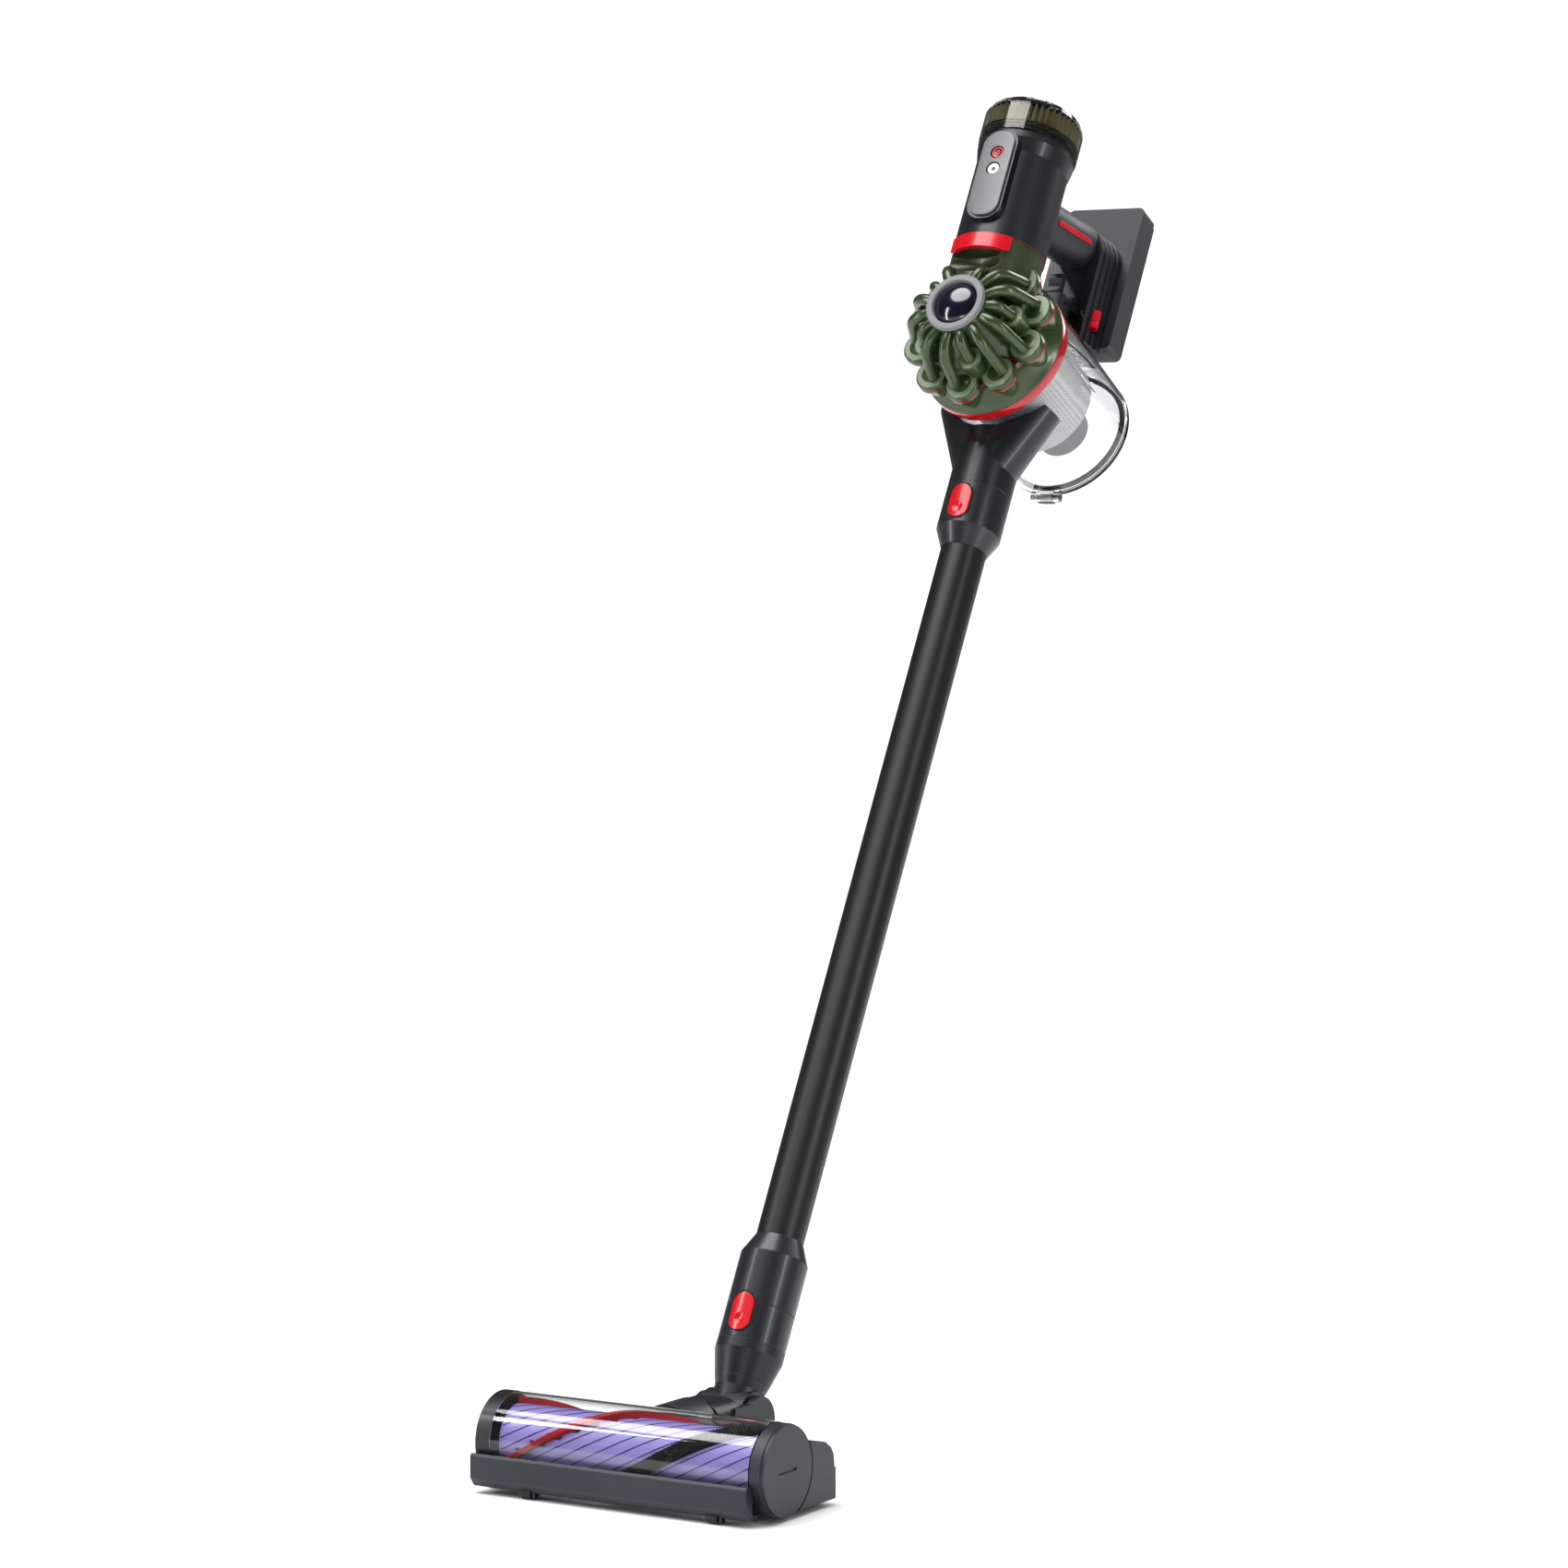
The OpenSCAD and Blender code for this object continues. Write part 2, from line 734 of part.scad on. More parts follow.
module pillar_outline(half_w) {
  translate([0, bracket_top_up]) circle(r = half_w);
  translate([-half_w, arm_up - 6]) square([2 * half_w, bracket_top_up - arm_up + 6]);
}

module handle_bracket() {
  color("#1c1e21") difference() {
    union() {
      bracket_body(0);
      in_wand() translate([-13, arm_front, arm_up]) cube([26, bracket_front - arm_front + 2, arm_t]);
    }
    grip_clear_below();
    in_wand() translate([-20, 42, arm_up + 7]) cube([40, 11, 9]);
    in_wand() translate([-7, trigger_pivot_back - 9, arm_up + 9]) cube([14, 17, 20]);
    in_wand() translate([0, trigger_pivot_back, trigger_pivot_up - 4]) x_rod(trigger_pin_r, -20, 20);
    latch_pocket();
    on_pack() translate([-4, 0, -battery_back - 2]) cube([8, ring_r + 5, 120]);
    screw_holes(1.4);
  }
}

// Keeps the bracket's arm clear of the grip's end
module grip_clear_below() {
  difference() {
    grip_cutter(0.02);
    in_wand() translate([-60, bracket_front, 0]) cube([120, 60, 2 * grip_up]);
  }
}

module trigger() {
  color("#2c2f34") in_wand() translate([0, trigger_pivot_back, trigger_pivot_up - 4]) difference() {
    union() {
      x_rod(4.2, -6.5, 6.5);
      x_rod(trigger_pin_r - run_gap, -12, 12);
      translate([-6.5, -4.2, 0]) cube([13, 6.4, trigger_len]);
    }
    translate([0, -14, trigger_len / 2 + 2]) x_rod(12, -7.5, 7.5);
  }
}

module battery_case() {
  color("#6f7175") difference() {
    union() {
      in_wand() translate([0, battery_back, battery_foot + battery_h / 2]) rotate([-90, 0, 0])
        linear_extrude(battery_t - 9) round_rect(battery_w, battery_h, 5);
      in_wand() translate([0, battery_back + battery_t - 9, battery_foot + battery_h / 2])
        rotate([-90, 0, 0]) linear_extrude(5) round_rect(battery_w - 4, battery_h - 4, 5);
      in_wand() translate([0, battery_back + battery_t - 4, battery_foot + battery_h / 2])
        rotate([-90, 0, 0]) linear_extrude(4) round_rect(battery_w - 12, battery_h - 12, 5);
    }
    in_wand() translate([0, battery_back + case_wall, battery_foot + battery_h / 2]) rotate([-90, 0, 0])
      linear_extrude(battery_t - 2 * case_wall - 6)
        round_rect(battery_w - 2 * case_wall, battery_h - 2 * case_wall, 3);
    charge_bore();
    screw_holes(1.4);
  }
  color("#6f7175") difference() {
    charge_axis() cylinder(r = socket_r + 2, h = socket_depth + 1);
    charge_bore();
    charge_axis() translate([0, 0, -1]) cylinder(r = socket_r + 4, h = battery_t - 3 * case_wall - socket_depth);
  }
}

// Places what is drawn inwards from the battery's outer face, on the charging socket's axis
module charge_axis() {
  in_wand() translate([0, battery_back + battery_t, battery_foot + socket_up]) rotate([90, 0, 0]) children();
}

// Blind round socket for the charger's plug, open backwards
module charge_bore() {
  charge_axis() translate([0, 0, -over]) cylinder(r = socket_r, h = socket_depth + over);
}

module battery_cells() {
  color("#3f7fb0") in_wand() for (k = [0:cell_count - 1])
    translate([0, battery_back + battery_t / 2 - 2.6, battery_foot + 27 + cell_pitch * k])
      x_rod(cell_r, -cell_len / 2, cell_len / 2);
}

// Recess in the bracket's right side for the latch and its travel
module latch_pocket() {
  in_wand() translate([latch_x - latch_r - part_gap, latch_back - latch_r - part_gap, latch_up - 13])
    cube([30, 2 * (latch_r + part_gap), 21]);
}

module battery_latch() {
  color("#d3263c") in_wand() translate([latch_x, latch_back, latch_up]) union() {
    translate([0, 0, -3]) cylinder(r = latch_r, h = 10);
    translate([0, 0, -9]) cylinder(r = latch_r, h = 5);
    translate([0, 0, -5]) cylinder(r = latch_r - 0.9, h = 4);
  }
}

// Screw holes through the bracket into the battery's boss side
module screw_holes(r) {
  for (x = [-17, 17], z = [arm_up + 50, bracket_top_up + 8]) in_wand()
    translate([x, battery_back - 9, z]) rotate([-90, 0, 0]) cylinder(r = r, h = 12);
}

module handle_screws() {
  color("#55585c") for (x = [-17, 17], z = [arm_up + 50, bracket_top_up + 8]) in_wand()
    translate([x, battery_back - 9, z]) rotate([-90, 0, 0]) cylinder(r = 1.4, h = 10);
}

// ---- Neck ----

module neck_cuff() {
  color("#33363b") in_wand() difference() {
    union() {
      translate([0, 0, waist_up]) cylinder(r1 = waist_r, r2 = cuff_r, h = 20);
      translate([0, 0, waist_up + 20]) cylinder(r = cuff_r, h = cuff_foot - waist_up - 20);
    }
    translate([0, 0, waist_up - over]) cylinder(r = airway_r, h = 60);
  }
}

module elbow() {
  color("#2d3035") difference() {
    union() {
      in_wand() x_rod(barrel_r, -barrel_half, barrel_half);
      in_wand() cylinder(r = riser_r, h = waist_up);
      in_wand() translate([0, 0, waist_up - 7]) cylinder(r1 = riser_r, r2 = waist_r, h = 7);
    }
    in_wand() cylinder(r = airway_r, h = waist_up + over);
    in_wand() x_rod(barrel_r - 5, -barrel_half + 3.5, barrel_half - 3.5);
    in_wand() x_rod(pivot_pin_r + run_gap, -barrel_half - over, barrel_half + over);
    neck_sweep();
  }
}

// Air passage through the barrel's front, wide enough for the whole pitch of the neck
module neck_sweep() {
  far = 2 * barrel_r;
  in_wand() translate([-11, 0, 0]) rotate([90, 0, 90]) linear_extrude(22)
    polygon(concat([[0, 0]], [for (a = [176:8:272]) [far * cos(a), far * sin(a)]]));
}

module neck_tube() {
  color("#2a2d32") in_head() difference() {
    union() {
      translate([0, head_rear + part_gap, pivot_z]) rotate([-90, 0, 0])
        linear_extrude(tube_end - head_rear - part_gap) round_rect(tube_w, tube_h, 16);
      translate([0, socket_front + 5, pivot_z]) rotate([-90, 0, 0]) cylinder(r = journal_r, h = 40);
      translate([0, socket_front + 5, pivot_z]) rotate([-90, 0, 0]) cylinder(r = journal_r + 3, h = 3);
      for (s = [-1, 1]) translate([s * (barrel_half + part_gap + cheek_t / 2), pivot_back, pivot_z]) {
        rotate([0, 90, 0]) cylinder(r = cheek_r, h = cheek_t, center = true);
        translate([0, -18, 0]) cube([cheek_t, 36, 2 * cheek_r - 7], center = true);
      }
      translate([0, pivot_back, pivot_z]) x_rod(pivot_pin_r, -barrel_half - 3, -barrel_half + 3.2);
      translate([0, pivot_back, pivot_z]) x_rod(pivot_pin_r, barrel_half - 3.2, barrel_half + 3);
    }
    translate([0, socket_front + 4, pivot_z]) rotate([-90, 0, 0]) cylinder(r = airway_r - 2, h = 70);
  }
}

module neck_bellows() {
  color("#1d1f22") in_head() translate([0, socket_front + 7, pivot_z]) rotate([-90, 0, 0]) difference() {
    union() {
      cylinder(r = airway_r - 2.6, h = 54);
      for (k = [0:8]) translate([0, 0, 3 + 5.5 * k]) cylinder(r = airway_r - 2.05, h = 2);
    }
    translate([0, 0, -over]) cylinder(r = airway_r - 4, h = 60);
  }
}

// ---- Floor head ----

// Places what is drawn on the brush axis, x along it
module on_brush() {
  in_head() translate([0, 0, brush_z]) children();
}

// Space of the brush chamber
module chamber(grow) {
  on_brush() x_rod(chamber_r + grow, -head_w / 2 + side_t, head_w / 2 - side_t + 0.01);
}

module head_base() {
  color("#3b3e44") difference() {
    union() {
      difference() {
        union() {
          in_head() translate([-head_w / 2 + side_t, -window_r, sole_z])
            cube([head_w - 2 * side_t, window_r + head_rear, sole_t]);
          in_head() translate([-head_w / 2, 12, sole_z]) cube([head_w, head_rear - 12, step_z - sole_z]);
        }
        in_head() translate([-head_w / 2 + 3, 36, sole_z + sole_t])
          cube([head_w - 6, head_rear - 39, step_z]);
      }
      intersection() {
        socket_ring();
        in_head() translate([-60, 0, sole_z]) cube([120, head_rear, step_z - sole_z]);
      }
      roller_ears();
    }
    socket_bore();
    chamber(0.2);
    in_head() translate([-head_w / 2 + 2.5, -26, sole_z + sole_t + 1]) cube([side_t - 3, 90, step_z]);
    in_head() translate([-head_w / 2 + side_t + 3, -25, sole_z - over])
      cube([head_w - 2 * side_t - 6, 50, sole_t + 2 * over + 8]);
    on_brush() x_rod(window_r + 0.3, -head_w / 2 - over, -head_w / 2 + side_t + 0.3);
    on_brush() x_rod(window_r + 0.3, head_w / 2 - side_t - 0.3, head_w / 2 + over);
    roller_slots();
  }
  color("#3b3e44") for (s = [-1, 1])
    in_head() translate([s * (head_w / 2 - side_t - 1.7) - 1.3, -26, sole_z]) cube([2.6, 46, sole_t]);
}

// Collar round the neck's journal, with a chamber for the journal's flange
module socket_ring() {
  in_head() translate([0, socket_front, pivot_z]) rotate([-90, 0, 0])
    cylinder(r = socket_ring_r, h = head_rear - socket_front);
}

module socket_bore() {
  in_head() translate([0, socket_front, pivot_z]) rotate([-90, 0, 0]) union() {
    translate([0, 0, -over]) cylinder(r = airway_r - 1, h = 8);
    translate([0, 0, 4]) cylinder(r = journal_r + 3.8, h = 5);
    translate([0, 0, 4]) cylinder(r = journal_r + run_gap, h = 60);
  }
}

// Ears in the sole that carry the rollers' axles
module roller_ears() {
  for (x = front_roller_x, s = [-1, 1])
    in_head() translate([x + s * 6 - 1.3, front_roller_y - roller_ear, 1.4]) cube([2.6, 2 * roller_ear, 6.6]);
  for (x = rear_roller_x, s = [-1, 1])
    in_head() translate([x + s * 7 - 1.3, rear_roller_y - 4, 2.5]) cube([2.6, 8, 9.5]);
}

// Slots for the rollers and the bores of their axles
module roller_slots() {
  for (x = front_roller_x) in_head() translate([x, front_roller_y, front_roller_r]) {
    x_rod(front_roller_r + part_gap, -4.5, 4.5);
    x_rod(roller_axle_r + run_gap, -8, 8);
  }
  for (x = rear_roller_x) in_head() translate([x, rear_roller_y, rear_roller_r]) {
    x_rod(rear_roller_r + part_gap, -5.5, 5.5);
    x_rod(roller_axle_r + run_gap, -9, 9);
  }
}

module rear_cover() {
  color("#34373d") difference() {
    union() {
      difference() {
        in_head() translate([-head_w / 2, 0, 0]) rotate([90, 0, 90]) linear_extrude(head_w) rear_profile(0);
        in_head() translate([-head_w / 2 + 3, 0, 0]) rotate([90, 0, 90])
          linear_extrude(head_w - 6) rear_profile(2.4);
      }
      difference() {
        socket_ring();
        in_head() translate([-60, 0, -20]) cube([120, 2 * head_rear, step_z + 20]);
      }
    }
    socket_bore();
    on_brush() x_rod(window_r + 0.2, -head_w / 2 - over, head_w / 2 + over);
  }
}

// Side outline of the rear cover, drawn in by an inset
module rear_profile(inset) {
  polygon([
    [28, step_z - (inset > 0 ? 1 : 0)], [head_rear - 2 - inset, step_z - (inset > 0 ? 1 : 0)],
    [head_rear - 3 - inset, 38], [head_rear - 7 - inset, 44 - inset],
    [head_rear - 15, 49 - inset], [34, 53 - inset], [26, 54 - inset]
  ]);
}

module head_window() {
  color("#cfd6da", 0.35) difference() {
    on_brush() x_rod(window_r, -head_w / 2 + side_t + 0.4, head_w / 2 - side_t - 0.4);
    on_brush() x_rod(chamber_r, -head_w / 2, head_w / 2);
    in_head() translate([-head_w, -60, 0]) cube([2 * head_w, 60.01, step_z + 1]);
    in_head() translate([-head_w, 0, 0]) cube([2 * head_w, 100, 53.5]);
  }
}

module bumper() {
  color("#45484e") difference() {
    in_head() translate([-head_w / 2, 0, 0]) rotate([90, 0, 90]) linear_extrude(head_w - side_t + 2)
      polygon([[-bumper_front, 12], [-bumper_front + 5, sole_z + 0.5], [-32, sole_z + 0.5],
        [-32, step_z + 0.6], [-bumper_front + 1.5, step_z + 2.4], [-bumper_front, step_z + 0.5]]);
    on_brush() x_rod(window_r + 0.05, -head_w, head_w);
    in_head() translate([-head_w / 2 + side_t - 0.3, -window_r - 0.05, 0]) cube([head_w - 2 * side_t + 0.6, 60, sole_z + sole_t + 0.1]);
    roller_slots();
    roller_ears();
  }
}

module left_cover() {
  color("#2a2c31") difference() {
    on_brush() union() {
      x_rod(window_r, -head_w / 2, -head_w / 2 + side_t);
      for (k = [0:1]) x_rod(window_r, -head_w / 2 + 3 + 4 * k, -head_w / 2 + 4.5 + 4 * k);
    }
    on_brush() x_rod(window_r - 2.5, -head_w / 2 + 2.5, -head_w / 2 + side_t + over);
    on_brush() x_rod(bearing_r + run_gap, -head_w / 2 - over, -head_w / 2 + 3.5);
    belt_window();
    in_head() translate([-head_w, -60, -10]) cube([2 * head_w, 120, 13.5]);
  }
}

// Slot that the belt leaves the left cover through
module belt_window() {
  in_head() translate([-head_w / 2 + 2.5, 5, sole_z + 3]) cube([side_t, 40, 44]);
}

module end_cap() {
  color("#4a4d54") difference() {
    on_brush() union() {
      x_rod(window_r - 0.3, head_w / 2 - side_t + 0.2, head_w / 2 - 3);
      x_rod(window_r - 1.2, head_w / 2 - 3.1, head_w / 2);
    }
    on_brush() translate([head_w / 2 - 1.2, -12, -1.1]) cube([4, 24, 2.2]);
    on_brush() x_rod(bearing_r + run_gap, head_w / 2 - side_t - over, head_w / 2 - 4);
    in_head() translate([-head_w, -60, -10]) cube([2 * head_w, 120, 13.5]);
  }
}

module brush_core() {
  color("#6a5acd") difference() {
    on_brush() union() {
      x_rod(brush_r, -head_w / 2 + side_t + 4, head_w / 2 - side_t - 4);
      x_rod(bearing_r, -head_w / 2 + 0.5, head_w / 2 - 4.5);
      x_rod(brush_pulley_r, -head_w / 2 + 4.6, -head_w / 2 + 4.6 + belt_w);
      x_rod(10, -head_w / 2 + 4, -head_w / 2 + side_t + 5);
    }
    for (a = concat(red_starts, [black_start])) strip_blocks(a, 0.01, brush_r - 3);
  }
}

// A strip that winds round the core in short straight blocks
module strip_blocks(start, gap, low) {
  for (k = [0:strip_steps - 1]) on_brush()
    rotate([start + strip_turn * (k + 0.5) / strip_steps, 0, 0])
      translate([-strip_len / 2 + strip_len * k / strip_steps, -2.2 - gap, low])
        cube([strip_len / strip_steps, 4.4 + 2 * gap, bristle_r - low]);
}

module brush_strips() {
  color("#1b1b1d") strip_blocks(black_start, 0, brush_r - 3);
  color("#cf1f2b") for (a = red_starts) strip_blocks(a, 0, brush_r - 3);
}

module head_motor() {
  color("#7d8085") in_head() translate([0, pulley_back, pulley_z]) difference() {
    x_rod(head_motor_r, -head_w / 2 + 16, -head_w / 2 + 74);
    x_rod(2 + run_gap, -head_w / 2 + 15, -head_w / 2 + 30);
  }
}

module motor_pulley() {
  color("#c3c6ca") in_head() translate([0, pulley_back, pulley_z]) union() {
    x_rod(motor_pulley_r, -head_w / 2 + 4.6, -head_w / 2 + 4.6 + belt_w);
    x_rod(2, -head_w / 2 + 4, -head_w / 2 + 28);
  }
}

module drive_belt() {
  color("#111111") in_head() difference() {
    belt_loop(belt_t + 0.3, 0);
    belt_loop(0.3, over);
  }
}

// Solid round both pulleys, grown by a gap and by a width at each side
module belt_loop(gap, extra) {
  tilt = atan2(pulley_z - brush_z, pulley_back);
  span = norm([pulley_back, pulley_z - brush_z]);
  translate([-head_w / 2 + 4.6 - extra, 0, brush_z]) rotate([90, 0, 90]) rotate([0, 0, tilt])
    linear_extrude(belt_w + 2 * extra) hull() {
      circle(r = brush_pulley_r + gap);
      translate([span, 0]) circle(r = motor_pulley_r + gap);
    }
}

module roller(x, y, r, half) {
  color("#1a1a1c") in_head() translate([x, y, r]) union() {
    x_rod(r, -half, half);
    x_rod(roller_axle_r, -half - 3, half + 3);
  }
}

module front_left_roller() {
  roller(front_roller_x[0], front_roller_y, front_roller_r, 4);
}

module front_right_roller() {
  roller(front_roller_x[1], front_roller_y, front_roller_r, 4);
}

module rear_left_roller() {
  roller(rear_roller_x[0], rear_roller_y, rear_roller_r, 5);
}

module rear_right_roller() {
  roller(rear_roller_x[1], rear_roller_y, rear_roller_r, 5);
}

motor_housing();
filter_cap();
filter_element();
motor();
motor_mount();
impeller();
panel_surround();
panel_cover();
power_button();
mode_button();
release_lever();
release_rod();
cyclone_saddle();
cyclone_manifold();
upper_cyclones();
cyclone_gasket();
lower_cyclones();
hub_ring();
prefilter();
bin_ring();
clear_bin();
bin_door();
door_seal();
door_pin();
shroud();
dust_cone();
wand_inlet();
top_cuff();
top_button();
wand_tube();
wand_wiring();
bottom_cuff();
bottom_button();
handle_grip();
grip_stripes();
handle_bracket();
trigger();
battery_case();
battery_cells();
battery_latch();
handle_screws();
neck_cuff();
elbow();
neck_tube();
neck_bellows();
head_base();
rear_cover();
head_window();
bumper();
left_cover();
end_cap();
brush_core();
brush_strips();
head_motor();
motor_pulley();
drive_belt();
front_left_roller();
front_right_roller();
rear_left_roller();
rear_right_roller();
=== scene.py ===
"""Cordless stick vacuum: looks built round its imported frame, in metres."""

import json
import logging
import math
from dataclasses import dataclass
from enum import Enum
from typing import Dict, List, Sequence, Tuple, Union

import bpy
from mathutils import Matrix, Vector


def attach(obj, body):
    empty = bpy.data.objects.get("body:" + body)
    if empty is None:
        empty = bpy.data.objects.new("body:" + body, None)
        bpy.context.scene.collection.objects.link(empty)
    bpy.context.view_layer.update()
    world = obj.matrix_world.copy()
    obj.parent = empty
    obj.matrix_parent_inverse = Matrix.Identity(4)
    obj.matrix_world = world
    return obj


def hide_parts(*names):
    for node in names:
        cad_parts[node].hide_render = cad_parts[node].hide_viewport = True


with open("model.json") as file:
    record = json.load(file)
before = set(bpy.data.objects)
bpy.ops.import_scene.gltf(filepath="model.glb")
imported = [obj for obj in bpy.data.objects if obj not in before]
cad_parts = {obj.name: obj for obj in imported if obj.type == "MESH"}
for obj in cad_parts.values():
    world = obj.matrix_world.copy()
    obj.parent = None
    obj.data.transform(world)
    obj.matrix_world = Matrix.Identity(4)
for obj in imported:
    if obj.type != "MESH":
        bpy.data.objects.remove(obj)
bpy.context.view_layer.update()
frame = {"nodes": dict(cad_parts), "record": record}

LOG = logging.getLogger("stick_vacuum")
Colour = Tuple[float, float, float]
Point = Tuple[float, float, float]
Ring = Tuple[float, float]
Piece = bpy.types.Object
Tree = bpy.types.NodeTree
Socket = bpy.types.NodeSocket
Feed = Union[float, Sequence[float], Socket]

MERGE = 1e-6
QUARTER = math.radians(90)


# ---------------------------------------------------------------- places


@dataclass(frozen=True)
class Places:
    """Local frames of the vacuum, as matrices into the row frame.

    The wand frame has z up the wand and y backwards from it, with its origin on
    the knuckle. The head frame has y = 0 on the brush axis and z = 0 on the floor.
    """

    lean: float = math.radians(28.58)
    grip_up: float = 1.052
    grip_back: float = 0.012
    pack_up: float = 0.9125
    motor_front: float = 0.0644
    pivot_back: float = 0.123
    pivot_z: float = 0.040

    def wand(self) -> Matrix:
        """Wand frame into the row frame."""
        slide = Matrix.Translation((0, -self.grip_back, -self.grip_up))
        return Matrix.Rotation(-self.lean, 4, "X") @ slide

    def pack(self) -> Matrix:
        """Cyclone pack's frame, z forwards and y up the wand."""
        up = Matrix.Translation((0, 0, self.pack_up))
        return self.wand() @ up @ Matrix.Rotation(QUARTER, 4, "X")

    def motor(self) -> Matrix:
        """Motor's frame, z up the wand on the motor's axis."""
        return self.wand() @ Matrix.Translation((0, -self.motor_front, 0))

    def out_of_front(self, front: float, up: float) -> Matrix:
        """Frame on the wand's front side, with z out of it."""
        spot = Matrix.Translation((0, -front, up))
        return self.wand() @ spot @ Matrix.Rotation(QUARTER, 4, "X")

    def knuckle(self) -> Vector:
        """Knuckle's pivot in the row frame."""
        return self.wand() @ Vector((0, 0, 0))

    def head(self) -> Matrix:
        """Head frame into the row frame."""
        k = self.knuckle()
        return Matrix.Translation((0, k.y - self.pivot_back, k.z - self.pivot_z))


PLACES = Places()


# ---------------------------------------------------------------- shader groups


def feed(tree: Tree, slot: Socket, value: Feed) -> None:
    """Links a socket to an input, or sets the input's own value."""
    if isinstance(value, Socket):
        tree.links.new(value, slot)
    else:
        slot.default_value = value


def sums(tree: Tree, operation: str, *values: Feed, clamp: bool = False) -> Socket:
    """Adds a math node.

    Args:
        tree: the tree it goes into.
        operation: what it works out.
        *values: its inputs, each a number or a socket.
        clamp: keeps the result between 0 and 1.

    Returns:
        The result's socket.
    """
    node = tree.nodes.new("ShaderNodeMath")
    node.operation = operation
    node.use_clamp = clamp
    for slot, value in zip(node.inputs, values):
        feed(tree, slot, value)
    return node.outputs[0]


def mixed(tree: Tree, share: Feed, low: Feed, high: Feed, blend: str = "MIX") -> Socket:
    """Adds a colour mix.

    Args:
        tree: the tree it goes into.
        share: how much of the second colour there is.
        low: the first colour.
        high: the second colour.
        blend: the blend type.

    Returns:
        The mixed colour's socket.
    """
    mix = tree.nodes.new("ShaderNodeMix")
    mix.data_type = "RGBA"
    mix.blend_type = blend
    for index, value in ((0, share), (6, low), (7, high)):
        feed(tree, mix.inputs[index], value)
    return mix.outputs[2]


